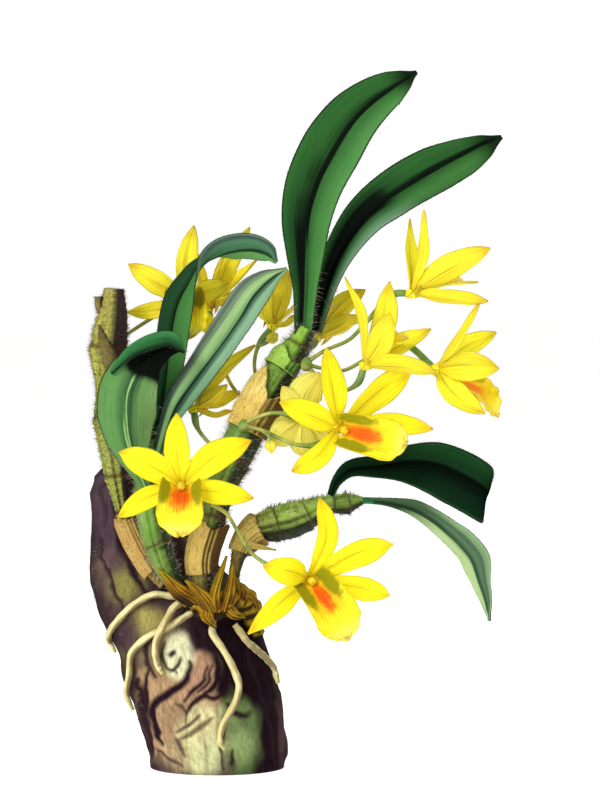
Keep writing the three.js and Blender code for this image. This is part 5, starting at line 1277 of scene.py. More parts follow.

# %% [markdown]
# ## The leaves
# Leathery, strap-shaped leaves fold along the midrib. The two upper ones and the low one are dark green,
# with painted shade that turns nearly black in the fold; the others are paler, with a bluish bloom on the
# reverse. Fine parallel veins run from base to tip, and the margin is a thin purple-brown line. The bands of
# colour that follow the midrib are laid side by side across the blade, one row of them near the foot and one
# near the tip, and each leaf melts from the first into the second. The bands also hold painted shade: darkest
# along the fold, one half of a blade often darker than the other, and on the broad leaf a painted shadow
# under its folded tip.

# %% Build the leaves
# For each leaf: where the midrib lies across it at foot, middle and tip; where the first row of bands ends
# and the second starts along it; the two rows on the face; the two on the reverse. 0.5 is the midrib, 0 and
# 1 the margins.
DARK_BACK = [(0.0, "5d8f63"), (0.47, "4d8055"), (0.5, "8fb08a"), (0.53, "4d8055"), (1.0, "5d8f63")]
PALE_FACE = [(0.0, "3f8250"), (0.46, "35744a"), (0.5, "12301f"), (0.54, "3f8250"), (1.0, "4c8f5c")]
LEAF_LOOKS = {
    "leaf_tall_left": ((0.45, 0.6, 0.5), (0.2, 0.65), (
        [(0.0, "2c6029"), (0.2, "1c4820"), (0.32, "020604"), (0.5, "010302"), (0.53, "2c5c2a"),
         (0.8, "447c3c"), (1.0, "4c8a44")],
        [(0.0, "2f652c"), (0.34, "2a5c28"), (0.46, "061208"), (0.5, "020804"), (0.53, "34692f"),
         (1.0, "4f8c47")],
    ), (DARK_BACK, DARK_BACK)),
    "leaf_tall_right": ((0.5, 0.46, 0.34), (0.42, 0.62), (
        [(0.0, "34682e"), (0.16, "1c4420"), (0.28, "020804"), (0.6, "010302"), (0.68, "2c5a2c"),
         (0.86, "5c8660"), (1.0, "7a9a7a")],
        [(0.0, "306430"), (0.38, "265626"), (0.46, "061408"), (0.52, "020804"), (0.57, "34692f"),
         (0.8, "427a3a"), (1.0, "3c7036")],
    ), (DARK_BACK, DARK_BACK)),
    "leaf_arching": ((0.45, 0.45, 0.45), (0.45, 0.6), (
        [(0.0, "1c4024"), (0.3, "1e4626"), (0.45, "143018"), (0.5, "06140a"), (0.54, "3c7436"),
         (1.0, "4a8440")],
        [(0.0, "245030"), (0.5, "0c2412"), (0.56, "3c7436"), (1.0, "4a8440")],
    ), (
        [(0.0, "4c8444"), (0.5, "1c3824"), (1.0, "567a5c")],
        [(0.0, "5c9450"), (0.38, "5c9450"), (0.46, "20402a"), (0.5, "12261a"), (0.55, "3c6a44"),
         (0.75, "487254"), (0.9, "3a4c46"), (1.0, "6a8c68")],
    )),
    "leaf_long": ((0.36, 0.36, 0.36), (0.3, 0.7), (PALE_FACE, PALE_FACE), (
        [(0.0, "6b9a72"), (0.25, "719c78"), (0.42, "3a5c46"), (0.5, "16241c"), (0.54, "6a9a62"),
         (0.72, "88b472"), (0.82, "4a5c52"), (1.0, "5a6a60")],
        [(0.0, "7fa884"), (0.28, "84ac88"), (0.43, "456a50"), (0.5, "1c2b22"), (0.54, "7fac6c"),
         (0.66, "9dc07f"), (0.8, "6f8a68"), (0.9, "5a665e"), (1.0, "8ba284")],
    )),
    "leaf_broad": ((0.5, 0.5, 0.5), (0.62, 0.7), (
        [(0.0, "3c8046"), (0.55, "2c6a38"), (0.8, "164424"), (1.0, "06160c")],
        [(0.0, "468a4e"), (0.6, "245a30"), (1.0, "06160c")],
    ), (
        [(0.0, "7aa062"), (0.28, "668e52"), (0.4, "4e7a46"), (0.475, "345638"), (0.498, "94bc72"),
         (0.52, "8cb46a"), (0.545, "3c663a"), (0.72, "5e8e4e"), (1.0, "5c884a")],
        # The reverse of the broad leaf's hooked end is painted near-black: a painted shadow under its fold.
        [(0.0, "020604"), (0.5, "010302"), (1.0, "020604")],
    )),
    "leaf_low_dark": ((0.42, 0.38, 0.36), (0.35, 0.6), (
        [(0.0, "0e2c18"), (0.36, "0c2616"), (0.5, "020604"), (0.62, "04100a"), (0.8, "0c2616"),
         (0.96, "0e2c18"), (1.0, "2f6a3a")],
        [(0.0, "18401f"), (0.4, "103018"), (0.49, "020604"), (0.6, "04100a"), (0.76, "0c2616"),
         (0.95, "0e2c18"), (1.0, "2f602f")],
    ), (DARK_BACK, DARK_BACK)),
    "leaf_low_pale": ((0.5, 0.52, 0.5), (0.2, 0.5), (PALE_FACE, PALE_FACE), (
        [(0.0, "4a6a48"), (0.45, "33523a"), (0.5, "142018"), (0.56, "38563c"), (1.0, "5a7a52")],
        [(0.0, "b4cc92"), (0.4, "aac68a"), (0.48, "4a6a4c"), (0.51, "2c4432"), (0.58, "587a56"),
         (0.74, "4f6450"), (0.86, "7a9c6e"), (1.0, "9cc088")],
    )),
}
DARK_LEAVES = {"leaf_tall_left", "leaf_tall_right", "leaf_low_dark"}


def leaf_slot(name):
    return "dark_leaf" if name in DARK_LEAVES else "pale_leaf"


def leaf_material(name, rib, melt, face, back):
    paint = Paint(name, Specular_IOR_Level=0.0 if name == "leaf_low_dark" else 0.03)
    middle = paint.calc("ADD", paint.fade(paint.along, 0.0, 0.5, rib[0], rib[1]),
                        paint.fade(paint.along, 0.5, 1.0, 0.0, rib[2] - rib[1]))
    off = paint.calc("SUBTRACT", paint.across, middle)
    right = paint.calc("DIVIDE", paint.calc("MAXIMUM", off, 0.0), paint.calc("SUBTRACT", 1.0, middle))
    left = paint.calc("DIVIDE", paint.calc("MINIMUM", off, 0.0), middle)
    share = paint.calc("MULTIPLY_ADD", paint.calc("ADD", left, right), 0.5, 0.5)
    streaks = paint.grain(24.0, 2.5, 4.0)
    calm = paint.calc("MULTIPLY_ADD", paint.calc("SUBTRACT", streaks, 0.5), 0.16, share)
    shift = paint.calc("MULTIPLY_ADD", paint.noise(70.0, 2.0), 0.25, paint.along)
    turn = paint.fade(shift, melt[0] + 0.12, melt[1] + 0.12)
    sides = [paint.mix(turn, paint.bands(calm, foot), paint.bands(calm, tip)) for foot, tip in (face, back)]
    tint = paint.mix(paint.mark, *sides)
    veins = paint.veins(30.0, 3.0)
    lighter = paint.mix(0.14, tint, colour("b7d2a2"), "SCREEN")
    tint = paint.mix(paint.times(veins, 0.3), tint, paint.mix(0.25, tint, lighter))
    tint = paint.over(tint, "08140a", paint.fade(streaks, 0.5, 0.72, 0.0, 0.3))
    tint = paint.over(tint, "08140a", paint.mottle(60.0, 0.3), 0.14)
    tint = paint.over(tint, "1a1014", paint.fade(paint.edge, 0.93, 0.98, 0.0, 0.85))
    blurred = paint.calc("MULTIPLY_ADD", streaks, 0.12, paint.along)
    end = paint.times(paint.fade(blurred, 0.82, 0.99), paint.calc("SUBTRACT", 1.0, paint.mark))
    tint = paint.over(tint, "040806", end, 0.9 if name in DARK_LEAVES else 0.35)
    return paint.finish(tint, veins, 0.25, 0.0003, paint.calc("MULTIPLY_ADD", paint.mark, 0.22, 0.36))


def build_leaf(name):
    spec = LEAVES[name]
    rib = LEAF_LOOKS[name][0][1]
    skin = Skin()
    seed = list(LEAVES).index(name)

    def bend(t, u):
        keel = -0.9 * hump(u, rib, 0.06) * np.sin(np.pi * np.clip(t * 1.05, 0, 1)) ** 0.5
        margin = np.abs(2 * u - 1) ** 3 * 0.7 * np.sin(13 * t + 5 * u + seed) * np.clip(4 * t, 0, 1)
        return keel + margin

    widths = spread(spec["widths"])
    (before, wide), (end, narrow) = widths[-2:]
    widths.insert(-1, [(before + end) / 2, 0.46 * (wide + narrow)])
    blade(skin, spec["points"], spec["facings"], widths, spec["arch"], LEAF_THICK, LEAF_GRID, bend)
    if name in HEELS:
        tube(skin, *HEELS[name], 24, 16)
    if "fold" in spec:
        fold = spec["fold"]
        widths = spread(fold["widths"])
        blade(skin, fold["points"], fold["facings"], widths, fold["arch"], LEAF_THICK, FOLD_GRID)
    look = leaf_material(name, *LEAF_LOOKS[name])
    return skin.piece(name.replace("leaf_", "blade_"), [look], name, leaf_slot(name))


leaves = {name: build_leaf(name) for name in LEAVES}
print("leaves:", ", ".join(leaves))

# %% [markdown]
# ## The flowers
# Three sepals and two petals, all of one clear yellow, spread round a short column. The sepals are narrower
# than the petals. Each is a thin blade with a shallow groove down its middle, a slightly wavy margin and a
# pointed tip that turns ochre. The column carries a pale cap over the pollen.

# %% Build the flowers
TEPAL_OUTLINE = [(0.12, 0.5), (0.25, 0.84), (0.5, 1.04), (0.75, 0.82), (0.9, 0.45)]


def petal_paint(name, green):
    """Light glows through petals, and green tells how far its green part goes compared with its red part."""
    paint = Paint(name, Roughness=0.5, Specular_IOR_Level=0.12, Subsurface_Weight=0.15,
                  Subsurface_Scale=GLOW_DEPTH)
    paint.shader.inputs["Subsurface Radius"].default_value = (1.0, green, 0.15)
    return paint


def tepal_material(name, light, deep, tip, crease, veining=0.16):
    paint = petal_paint(name, 0.8)
    streaks = paint.grain(14.0, 1.6, 4.0)
    tint = paint.over(colour(light), deep, paint.fade(streaks, 0.5, 0.7, 0.0, 0.6))
    veins = paint.veins(11.0, 4.0)
    tint = paint.over(tint, deep, veins, veining)
    # Painted shade on one side of the middle groove, fading towards the tip.
    beside = paint.times(paint.fade(paint.off, 0.0, 0.3, 0.4, 0.0), paint.fade(paint.off, -0.06, 0.0))
    tint = paint.over(tint, deep, beside, paint.fade(paint.along, 0.05, 0.8, 1.0, 0.3))
    # A dark line down the middle groove near the foot: partly the tepal's own colour, partly painted shade in
    # the crease.
    line = paint.fade(paint.edge, 0.012, 0.06, 0.6, 0.0)
    tint = paint.over(tint, crease, line, paint.fade(paint.along, 0.35, 0.75, 1.0, 0.0))
    worn = paint.calc("MULTIPLY_ADD", paint.mottle(90.0, 0.2), 0.6, 0.15)
    tint = paint.over(tint, tip, paint.fade(paint.along, 0.76, 0.99), worn)
    margin = paint.fade(paint.edge, 0.86, 0.98, 0.0, 0.55)
    tint = paint.over(tint, crease, margin, paint.fade(streaks, 0.35, 0.6))
    # Painted shade at the foot, where the tepals crowd round the core.
    tint = paint.over(tint, deep, paint.fade(paint.along, 0.02, 0.22, 0.5, 0.0))
    tint = paint.over(tint, deep, paint.mark, 0.35)
    return paint.finish(tint, veins, 0.25, 0.0003)


def column_material():
    paint = Paint("column", Roughness=0.5, Specular_IOR_Level=0.15)
    tint = paint.over(colour("c89c1a"), "ecd028", paint.fade(paint.along, 0.55, 0.85))
    tint = paint.over(tint, "9a6a14", paint.fade(paint.noise(900.0), 0.5, 0.66, 0.0, 0.5))
    return paint.finish(tint, paint.noise(1200.0), 0.3, 0.0002)


TEPAL_FRONT = tepal_material("tepal front", "fbee1c", "d8b216", "cb941a", "857014")
# The sideways flowers get a copy with a lighter yellow but darker folds, tips and margins, and the flowers at
# the back a darker copy: painted shade.
TEPAL_SIDE_SHADED = tepal_material("tepal side shaded", "fbf232", "cfb024", "b8861c", "5d4c14", 0.25)
TEPAL_BEHIND_SHADED = tepal_material("tepal behind shaded", "f8e834", "bfa026", "a87a1e", "6d5a18", 0.25)
TEPAL_STRAW = tepal_material("tepal straw", "fcf46e", "c6b44a", "b09440", "6a5a20", 0.35)
TEPAL_LOOKS = {"bloom_4": TEPAL_SIDE_SHADED, "bloom_5": TEPAL_SIDE_SHADED, "bloom_6": TEPAL_SIDE_SHADED, "bloom_12": TEPAL_STRAW}
TEPAL_LOOKS |= {f"bloom_{number}": TEPAL_BEHIND_SHADED for number in range(7, 12)}
COLUMN = column_material()


def inward(face, start, end):
    """The way a tepal's hollow side looks: the flower's axis squared up to the tepal."""
    run = unit(np.subtract(end, start).astype(float))
    axis = unit(np.array(face, float))
    return unit(axis - run * axis.dot(run))


def build_bloom(name, seed):
    spec = BLOOMS[name]
    at = np.array(spec["at"], float)
    axis = unit(np.array(spec["face"], float))
    skin = Skin()
    for order, (by, end, wide, *way) in enumerate(spec["tepals"]):
        width = wide * TEPAL_WIDTH
        start = at + unit(np.subtract(by, at)) * TEPAL_SINK * CORE_RADIUS
        facing = way[0] if way else inward(axis, at, end)
        outline = [[t, share * width] for t, share in TEPAL_OUTLINE]

        def bend(t, u, phase=1.7 * order + seed):
            edge = np.abs(2 * u - 1)
            groove = -0.5 * hump(u, 0.5, 0.09) * np.sin(np.pi * np.clip(t, 0, 1)) ** 0.6
            wave = 0.4 * edge**3 * np.sin(9 * t + 4 * u + phase) * np.clip(3 * t, 0, 1)
            return groove + wave + 0.12 * np.sin(25 * u) * np.sin(np.pi * t)

        blade(skin, [start, by, end], [facing], [[0, TEPAL_FOOT], *outline, [1, 0.35]],
              [[0, 1.4], [0.5, 0.9], [1, 0.6]], TEPAL_THICK, TEPAL_GRID, bend)
    core = [at - axis * CORE_RADIUS * 0.9, at, at + axis * 0.8]
    tube(skin, core, [0.8, 0.95 * CORE_RADIUS, 1.5], 18, 12)
    tip = at + axis * COLUMN_LENGTH
    tube(skin, [at, (at + tip) / 2, tip], [1.5, 1.25, 1.5, 1.35, 0.6], 18, 22,
         lambda t, angle: 0.3 * hump(t, 0.85, 0.08) * np.cos(2 * angle) ** 2, slot=1)
    materials = [TEPAL_LOOKS.get(name, TEPAL_FRONT), COLUMN]
    return skin.piece(name.replace("bloom_", "flower_"), materials, name, "tepal")


flowers = [build_bloom(name, seed) for seed, name in enumerate(BLOOMS)]
print("flowers:", len(flowers))

# %% [markdown]
# ## The lips
# The third petal, the lip, is a trough below the column: its side lobes stand up beside the column, and it
# opens into a frilled tongue. Its throat is orange with a green patch on each side, and fine lines run out
# into the yellow.

# %% Build the lips
THROAT = 0.0, 0.27


def lip_material(name, glowing_reach, green_middle, green_reach):
    """Orange within a reach of the throat, and green on both sides; places run across and along the lip."""
    paint = petal_paint(name, 0.7)
    blur = paint.calc("MULTIPLY_ADD", paint.noise(450.0, 2.0), 0.2, -0.1)
    far, deep = paint.calc("ADD", paint.edge, blur), paint.calc("ADD", paint.along, blur)
    lines = paint.veins(13.0, 3.0)
    tint = paint.over(colour("fff02a"), "f6ee8c", paint.fade(paint.along, 0.7, 1.0, 0.0, 0.5))
    tint = paint.over(tint, "dca818", lines, 0.4)
    glow = paint.times(paint.fade(far, 0.45, 0.8, 0.65, 0.0), paint.fade(deep, 0.45, 0.75, 1.0, 0.0))
    tint = paint.over(tint, "f4b012", glow)
    orange = paint.spot(far, deep, THROAT, glowing_reach, 0.9)
    tint = paint.over(tint, "ef7a10", orange, paint.calc("MULTIPLY_ADD", lines, 0.3, 0.7))
    red = paint.spot(far, deep, THROAT, [0.75 * reach for reach in glowing_reach], 1.0)
    tint = paint.over(tint, "e4480e", red, 0.75)
    tint = paint.over(tint, "8b8c0c", paint.spot(far, deep, green_middle, green_reach, 0.75), 0.95)
    rim = paint.calc("MAXIMUM", paint.fade(paint.edge, 0.86, 1.0), paint.fade(paint.along, 0.9, 1.0))
    tint = paint.over(tint, "c99c14", rim, paint.fade(paint.noise(900.0), 0.4, 0.6, 0.2, 0.7))
    tint = paint.over(tint, "d8b020", paint.mark, 0.3)
    return paint.finish(tint, lines, 0.3, 0.0003)


LIP = lip_material("lip", (0.5, 0.36), (0.72, 0.22), (0.36, 0.28))
LIP_LOOKS = {
    "bloom_1": lip_material("lip wide", (0.62, 0.38), (0.8, 0.24), (0.4, 0.32)),
    "bloom_3": lip_material("lip narrow", (0.38, 0.34), (0.66, 0.2), (0.4, 0.28)),
}


def build_lip(name, seed):
    spec = BLOOMS[name]
    opening = spec.get("open", 1)
    at = np.array(spec["at"], float)
    axis = unit(np.array(spec["face"], float))
    end = np.array(spec["lip"], float)
    run = end - at
    down = unit(run - axis * run.dot(axis))
    drop = LIP_SHAPE["down"] + (1 - opening) * LIP_SHAPE["closed_drop"]
    base = at + axis * LIP_SHAPE["forward"] + down * drop
    bend_at = at + axis * LIP_SHAPE["bend_forward"] * np.linalg.norm(run) + run * LIP_SHAPE["bend_down"]

    def bend(t, u):
        edge = np.abs(2 * u - 1)
        frill = 0.8 * opening * edge**3 * np.sin(34 * t + 6 * u + seed) * step(t, 0.25, 0.6)
        ridges = 0.4 * (hump(u, 0.44, 0.03) + hump(u, 0.56, 0.03)) * hump(t, 0.35, 0.3)
        return frill + ridges + 0.1 * np.sin(34 * u) * t

    def slide(t, u):
        rise = LOBE_RISE * opening * np.abs(2 * u - 1) ** 1.5 * (1 - step(t, 0, 0.5))
        scallops = 0.6 * opening * np.sin(21 * u + seed) * step(t, 0.7, 1)
        return scallops + 0.35 * np.sin(47 * u) * step(t, 0.8, 1) - rise

    widths = [[t, width * opening] for t, width in LIP_SHAPE["widths"]] + [[0.96, 5 * opening], [1, 1.5]]
    skin = Skin()
    blade(skin, [base, bend_at, end], [inward(axis, at, end)], widths, LIP_SHAPE["arch"], LIP_THICK, LIP_GRID,
          bend, slide=slide)
    look = LIP_LOOKS.get(name, LIP)
    return skin.piece(name.replace("bloom_", "tongue_"), [look], name.replace("bloom", "lip"), "lip")


lips = [build_lip(name, seed) for seed, name in enumerate(BLOOMS)]
print("lips:", len(lips))

# %% [markdown]
# ## The flower stalks and buds
# Thin green stalks leave the joints of the canes in small sprays. Each thickens into a ribbed ovary under
# its flower.

# %% Build the stalks
PEDICEL_SHARES = [1.3, 1, 1, 1.1, 1.9, 1.6]


def stalk_material():
    paint = Paint("stalk", Roughness=0.5, Subsurface_Weight=0.1, Subsurface_Scale=GLOW_DEPTH)
    tint = paint.bands(paint.along, [(0.0, "d2c660"), (0.45, "b9bd52"), (0.8, "7ea044"), (1.0, "6f9a3c")])
    tint = paint.over(tint, "55782f", paint.mottle(200.0, 0.2))
    # Painted shade on the undersides of the stalks.
    tint = paint.over(tint, "4a5a1c", paint.fade(paint.towards(0.5, -0.2, -0.85), 0.2, 0.8, 0.0, 0.7))
    return paint.finish(tint, paint.noise(1400.0), 0.4, 0.0002)


def bud_material():
    paint = Paint("bud", Roughness=0.45, Subsurface_Weight=0.2, Subsurface_Scale=GLOW_DEPTH)
    seams = paint.veins(5.0, 5.0)
    tint = paint.over(colour("f4e23e"), "b59a2a", seams, 0.5)
    tint = paint.over(tint, "a8b040", paint.fade(paint.along, 0.0, 0.5, 0.5, 0.0))
    return paint.finish(tint, seams, 0.4, 0.0003)


STALK, BUD = stalk_material(), bud_material()


def build_spray(name):
    spec = SPRAYS[name]
    skin = Skin()
    for points, flower in spec["stalks"]:
        points = [*points, BLOOMS[flower]["at"]]
        tube(skin, points, [share * PEDICEL_RADIUS for share in PEDICEL_SHARES], 16, 18 * len(points),
             lambda t, angle: 0.1 * np.cos(3 * angle) * np.clip(3 * t - 1.8, 0, 1))
    for points in spec.get("buds", []):
        tube(skin, points, [PEDICEL_RADIUS * share for share in (1, 0.9, 1)], 12, 24)
        low, end = np.array(points[-2:], float)
        way = unit(end - low) * 1.15 * BUD_RADIUS
        tube(skin, [end - way, end - 0.4 * way, end + 0.3 * way, end + way],
             [share * BUD_RADIUS for share in (0.35, 0.85, 1, 0.95, 0.6, 0.1)], 24, 24, slot=1)
    for middle, wide, high in spec.get("knobs", []):
        centre, up = np.array(middle, float), np.array([0, 0, high])
        tube(skin, [centre - up, centre, centre + up], [share * wide for share in (0.4, 0.95, 1, 0.85, 0.3)],
             20, 16, lambda t, angle: 0.2 * np.sin(5 * angle + 9 * t))
    piece_name = name.replace("spray_", "cluster_").replace("stalk_", "pedicel_")
    return skin.piece(piece_name, [STALK, BUD], name, "stalk")


sprays = {name: build_spray(name) for name in SPRAYS}
print("sprays and stalks:", len(sprays))

# %% [markdown]
# ## The roots
# Aerial roots creep over the bark, covered in a corky cream skin that takes up water, uneven along their
# length.

# %% Build the roots
def root_material():
    paint = Paint("root", Roughness=0.7, Specular_IOR_Level=0.15)
    tint = paint.over(colour("eee6ac"), "c9b87a", paint.mottle(140.0, 0.25))
    # Painted shade on the lower right side of each root.
    tint = paint.over(tint, "6a5636", paint.fade(paint.towards(0.75, -0.25, -0.6), 0.05, 0.75, 0.0, 0.85))
    tint = paint.over(tint, "a9b45c", paint.fade(paint.along, 0.93, 1.0, 0.0, 0.6))
    return paint.finish(tint, paint.noise(900.0, 4.0), 0.5, 0.0003)


ROOT = root_material()


def build_root(name, seed):
    track = [over_bark(x, z, ROOT_RADIUS + ROOT_CLEAR + sum(lift)) for x, z, *lift in ROOTS[name]]
    skin = Skin()
    tube(skin, track, [share * ROOT_RADIUS * ROOT_SHRINK for share in ROOT_TAPER], 20, 26 * len(track),
         lambda t, angle: 0.1 * np.sin(40 * t + seed) * np.sin(17 * t) + 0.06 * np.sin(3 * angle + 30 * t))
    return skin.piece(name.replace("root_", "aerial_root_"), [ROOT], name, "root")


roots = [build_root(name, seed) for seed, name in enumerate(ROOTS)]
print("roots:", len(roots))

# %% [markdown]
# ## Hairs and moss
# Stiff fine hairs stand off the canes, the sheaths and the margins of the leaves, and moss grows in tufts
# on the branch. They repeat by the thousand, so a node tree scatters thin three-sided cones over a mesh,
# where the mesh's "hairy" numbers are high, stands each one along the mesh's "comb", turns and sizes it a
# little, and makes it real.

# %% Grow the hairs
def hair_tree():
    tree = bpy.data.node_groups.new("hairs", "GeometryNodeTree")
    sockets = [("Geometry", "Geometry"), ("Density", "Float"), ("Length", "Float"), ("Thickness", "Float"),
               ("Lean", "Float"), ("Seed", "Int"), ("Material", "Material")]
    for key, kind in sockets:
        tree.interface.new_socket(key, in_out="INPUT", socket_type="NodeSocket" + kind)
    tree.interface.new_socket("Geometry", in_out="OUTPUT", socket_type="NodeSocketGeometry")
    come, go = put(tree, "NodeGroupInput").outputs, put(tree, "NodeGroupOutput").inputs
    hairy = put(tree, "GeometryNodeInputNamedAttribute", {"Name": "hairy"}, data_type="FLOAT").outputs[0]
    comb = put(tree, "GeometryNodeInputNamedAttribute", {"Name": "comb"}, data_type="FLOAT_VECTOR").outputs[0]
    spots = put(tree, "GeometryNodeDistributePointsOnFaces", {"Mesh": come["Geometry"], "Seed": come["Seed"]},
                distribute_method="RANDOM")
    tree.links.new(maths(tree, "MULTIPLY", hairy, come["Density"]), spots.inputs["Density"])
    cone = put(tree, "GeometryNodeMeshCone", {"Vertices": 3, "Radius Top": 0.0, "Depth": come["Length"],
               "Radius Bottom": come["Thickness"]}, fill_type="NONE").outputs["Mesh"]
    stand = put(tree, "FunctionNodeAlignRotationToVector", {"Vector": comb}, axis="Z").outputs[0]
    hairs = put(tree, "GeometryNodeInstanceOnPoints", {"Points": spots.outputs["Points"], "Instance": cone,
                "Rotation": stand}).outputs[0]
    size = put(tree, "FunctionNodeRandomValue", {"Seed": come["Seed"], 2: 0.4, 3: 1.15}, data_type="FLOAT")
    hairs = put(tree, "GeometryNodeScaleInstances", {"Instances": hairs, "Scale": size.outputs[1]}).outputs[0]
    ends = (maths(tree, "MULTIPLY", come["Lean"], -1.0), come["Lean"])
    least, most = (put(tree, "ShaderNodeCombineXYZ", {0: way, 1: way}).outputs[0] for way in ends)
    lean = put(tree, "FunctionNodeRandomValue", {"Seed": come["Seed"], 0: least, 1: most},
               data_type="FLOAT_VECTOR").outputs[0]
    hairs = put(tree, "GeometryNodeRotateInstances", {"Instances": hairs, "Rotation": lean}).outputs[0]
    hairs = put(tree, "GeometryNodeRealizeInstances", {"Geometry": hairs}).outputs[0]
    hairs = put(tree, "GeometryNodeSetMaterial", {"Geometry": hairs, "Material": come["Material"]}).outputs[0]
    tree.links.new(hairs, go[0])
    return tree


def hair_material(name, light, dark):
    paint = Paint(name, Roughness=0.6)
    tint = paint.over(colour(light), dark, paint.fade(paint.noise(700.0, 1.0), 0.42, 0.58))
    return paint.finish(tint, paint.noise(2000.0), 0.1, 0.0001)


HAIRS = hair_tree()
PINK_HAIR = hair_material("pinkish hairs", "c9b3ab", "6d5352")
DARK_HAIR = hair_material("dark hairs", "5a4644", "1f1518")
GREEN_HAIR = hair_material("margin hairs", "4a5a44", "141c16")
MOSS = hair_material("moss", "7f8a3c", "3d4c1e")


def grow_hairs(carrier, name, density, length, thickness, lean, seed, material, slot, hairy=None):
    """Scatters hairs over a copy of the carrier's mesh. density is per square millimetre, the sizes are in
    millimetres, and hairy(points, marks, rims) gives 0 to 1 per point; without it hairs grow everywhere."""
    mesh = carrier.data.copy()
    points, combs, marks, rims = GROWTH[carrier.name]
    keep(mesh, "hairy", "FLOAT", "value", hairy(points, marks, rims) if hairy else np.ones(len(points)))
    keep(mesh, "comb", "FLOAT_VECTOR", "vector", combs)
    source = add(name + "_source", mesh)
    nodes = source.modifiers.new("hairs", "NODES")
    nodes.node_group = HAIRS
    numbers = {"Density": density / MM**2, "Length": length * MM, "Thickness": thickness * MM, "Lean": lean,
               "Seed": seed, "Material": material}
    for item in HAIRS.interface.items_tree:
        if item.in_out == "INPUT" and item.name in numbers:
            nodes[item.identifier] = numbers[item.name]
    source.update_tag()
    ready = source.evaluated_get(bpy.context.evaluated_depsgraph_get())
    grown = bpy.data.meshes.new_from_object(ready)
    bpy.data.objects.remove(source)
    grown.name = name
    piece = add(name, grown)
    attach(piece, "root")
    return piece


def fringe(_, marks, rims):
    """The margins of a leaf, and a few hairs on its reverse."""
    return np.maximum(step(rims, 0.9, 1.0), 0.02 * marks)


def low_fringe(low, high):
    """The margins of a leaf below a height."""
    return lambda points, _, rims: step(rims, 0.75, 1.0) * (1 - step(points[:, 2], low, high))


def mossy(points, *_):
    """Tufts from noise on the left and back of the branch, up to its top, and none near its foot or where it
    is worn.
    """
    x, y, z = points.T
    tufts = step(rough(points, 7, 11) + 0.4 * rough(points, 2.5, 12), 0.25, 0.6)
    worn = hump(x, -6, 16) * hump(z, 20, 26) * (y < 4)
    return tufts * (1 - 0.9 * worn) * step(z, 4, 12) * (1 - step(x, -8, 0) * (y < 6))


# The hairs of the canes: cane, name, how many, length, thickness, lean, seed, material.
CANE_HAIRS = [
    ("cane_main", "hairs_main", 1.5, 2.6, 0.06, 0.45, 1, PINK_HAIR),
    ("cane_main", "bristles_main", 0.8, 1.8, 0.08, 0.5, 21, DARK_HAIR),
    ("cane_side", "hairs_side", 1.8, 1.9, 0.08, 0.45, 2, DARK_HAIR),
    ("cane_old", "hairs_old", 1.6, 1.5, 0.08, 0.45, 3, DARK_HAIR),
    ("cane_short", "hairs_short", 1.2, 2.0, 0.06, 0.5, 4, PINK_HAIR),
]
# The heights between which the haze of long hairs at the foot of a leaf thins out.
HAZES = {
    "leaf_tall_left": (150, 172),
    "leaf_tall_right": (150, 172),
    "leaf_long": (112, 124),
    "leaf_broad": (98, 122),
}
fur = [grow_hairs(canes[cane], *row, cane_slot(cane)) for cane, *row in CANE_HAIRS]
fur.append(grow_hairs(branch, "moss", 1.1, 1.1, 0.1, 0.5, 5, MOSS, "bark", mossy))
for number, (name, sheath) in enumerate(sheaths.items()):
    seed = 30 + number
    fur.append(grow_hairs(sheath, "stubble_" + name, 0.9, 1.1, 0.05, 0.6, seed, DARK_HAIR, "dry_sheath"))
for number, (name, leaf) in enumerate(leaves.items()):
    seed, slot = 10 + number, leaf_slot(name)
    fur.append(grow_hairs(leaf, "fringe_" + name, 5.0, 0.9, 0.06, 0.5, seed, GREEN_HAIR, slot, fringe))
for name, (low, high) in HAZES.items():
    seed, slot, hairy = 50 + low, leaf_slot(name), low_fringe(low, high)
    fur.append(grow_hairs(leaves[name], "haze_" + name, 3.5, 3.0, 0.06, 0.6, seed, PINK_HAIR, slot, hairy))
print("hairs and moss:", sum(len(piece.data.polygons) for piece in fur), "faces")

# %% [markdown]
# ## Floor, light and camera
# A pale floor that curves up far behind the plant, broad soft lights, and a long lens level with the
# flowers.

# %% Stage
# Lengths are in metres here. The floor: how far it lies below the foot, radius and height of its rings.
FLOOR_SINK = 0.0001
FLOOR_RIMS = [(2.0, 0.0), (6.5, 0.0), (7.3, 0.1), (7.8, 0.45), (8.0, 1.3)]
# The lamps: place, size and power. They all point at one place.
LAMPS = {
    "key": ((-0.55, -0.75, 0.7), 0.45, 7),
    "fill": ((0.8, -0.6, 0.4), 0.6, 1.5),
    "rim": ((0.3, 0.8, 0.8), 0.5, 4),
}
LAMPS_AIM = 0.03, 0, 0.12
SKY = 0.42
# The camera: the place it looks at, its distance, how steeply it looks down, and the height of the view.
# The sensor is in millimetres.
EYE_AIM = 0.0283, -0.015, 0.125
EYE_DISTANCE = 1.4
EYE_RISE = math.radians(3)
VIEW_HEIGHT = 0.2667
SENSOR_HEIGHT = 36
SENSOR_WIDTH = 27


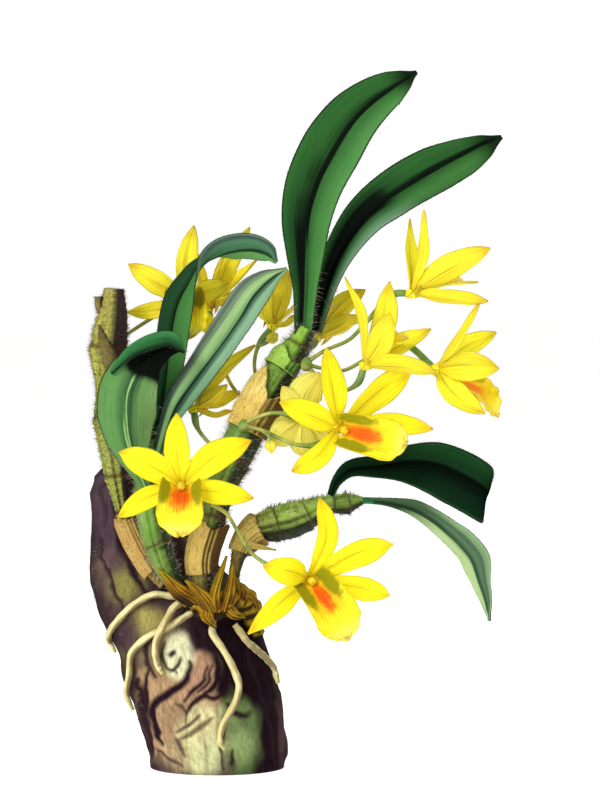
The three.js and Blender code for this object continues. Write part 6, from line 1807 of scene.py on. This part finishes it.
def stage(sides=64):
    """A pale round floor whose far rim turns up, so that no horizon shows from any side."""
    turns = np.arange(sides) * TAU / sides
    verts = [(0, 0, -FLOOR_SINK)]
    verts += [(r * math.cos(a), r * math.sin(a), z - FLOOR_SINK) for r, z in FLOOR_RIMS for a in turns]
    ring = [(k, (k + 1) % sides) for k in range(sides)]
    faces = [(0, 1 + a, 1 + b) for a, b in ring]
    for low in range(1, 1 + (len(FLOOR_RIMS) - 1) * sides, sides):
        faces += [(low + a, low + sides + a, low + sides + b, low + b) for a, b in ring]
    mesh = bpy.data.meshes.new("backdrop")
    mesh.from_pydata(verts, [], faces)
    mesh.polygons.foreach_set("use_smooth", [True] * len(faces))
    floor = add("backdrop", mesh)
    paint = Paint("backdrop", Roughness=0.9, Specular_IOR_Level=0.0, Emission_Strength=0.55)
    paint.shader.inputs["Emission Color"].default_value = (1, 1, 1, 1)
    mesh.materials.append(paint.finish(paint.over(colour("fbfbfa"), "ffffff", paint.noise(4.0))))
    floor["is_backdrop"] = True


def lamp(name, place, size, power):
    light = bpy.data.lights.new(name, "AREA")
    light.shape, light.size, light.energy = "DISK", size, power
    holder = add(name, light)
    holder.location = place
    holder.rotation_mode = "QUATERNION"
    holder.rotation_quaternion = Vector(np.subtract(LAMPS_AIM, place)).to_track_quat("-Z", "Y")


def camera():
    view = bpy.data.cameras.new("camera")
    view.sensor_fit, view.sensor_height = "VERTICAL", SENSOR_HEIGHT
    view.sensor_width = SENSOR_WIDTH
    view.lens = SENSOR_HEIGHT * EYE_DISTANCE / VIEW_HEIGHT
    eye = add("camera", view)
    eye.location = EYE_AIM + EYE_DISTANCE * np.array([0, -math.cos(EYE_RISE), math.sin(EYE_RISE)])
    eye.rotation_euler = (math.pi / 2 - EYE_RISE, 0, 0)
    bpy.context.scene.camera = eye


stage()
for name, numbers in LAMPS.items():
    lamp(name, *numbers)
camera()
world = bpy.data.worlds.new("soft light")
world.use_nodes = True
sky = world.node_tree.nodes["Background"].inputs
sky[0].default_value, sky[1].default_value = (1, 1, 1, 1), SKY
bpy.context.scene.world = world
bpy.context.scene.view_settings.view_transform = "Standard"
print("stage, lamps and camera ready")

# %% Sizes, and the end
low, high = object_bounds()
total = sum(len(o.data.polygons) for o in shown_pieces())
print("whole model:", total, "faces")
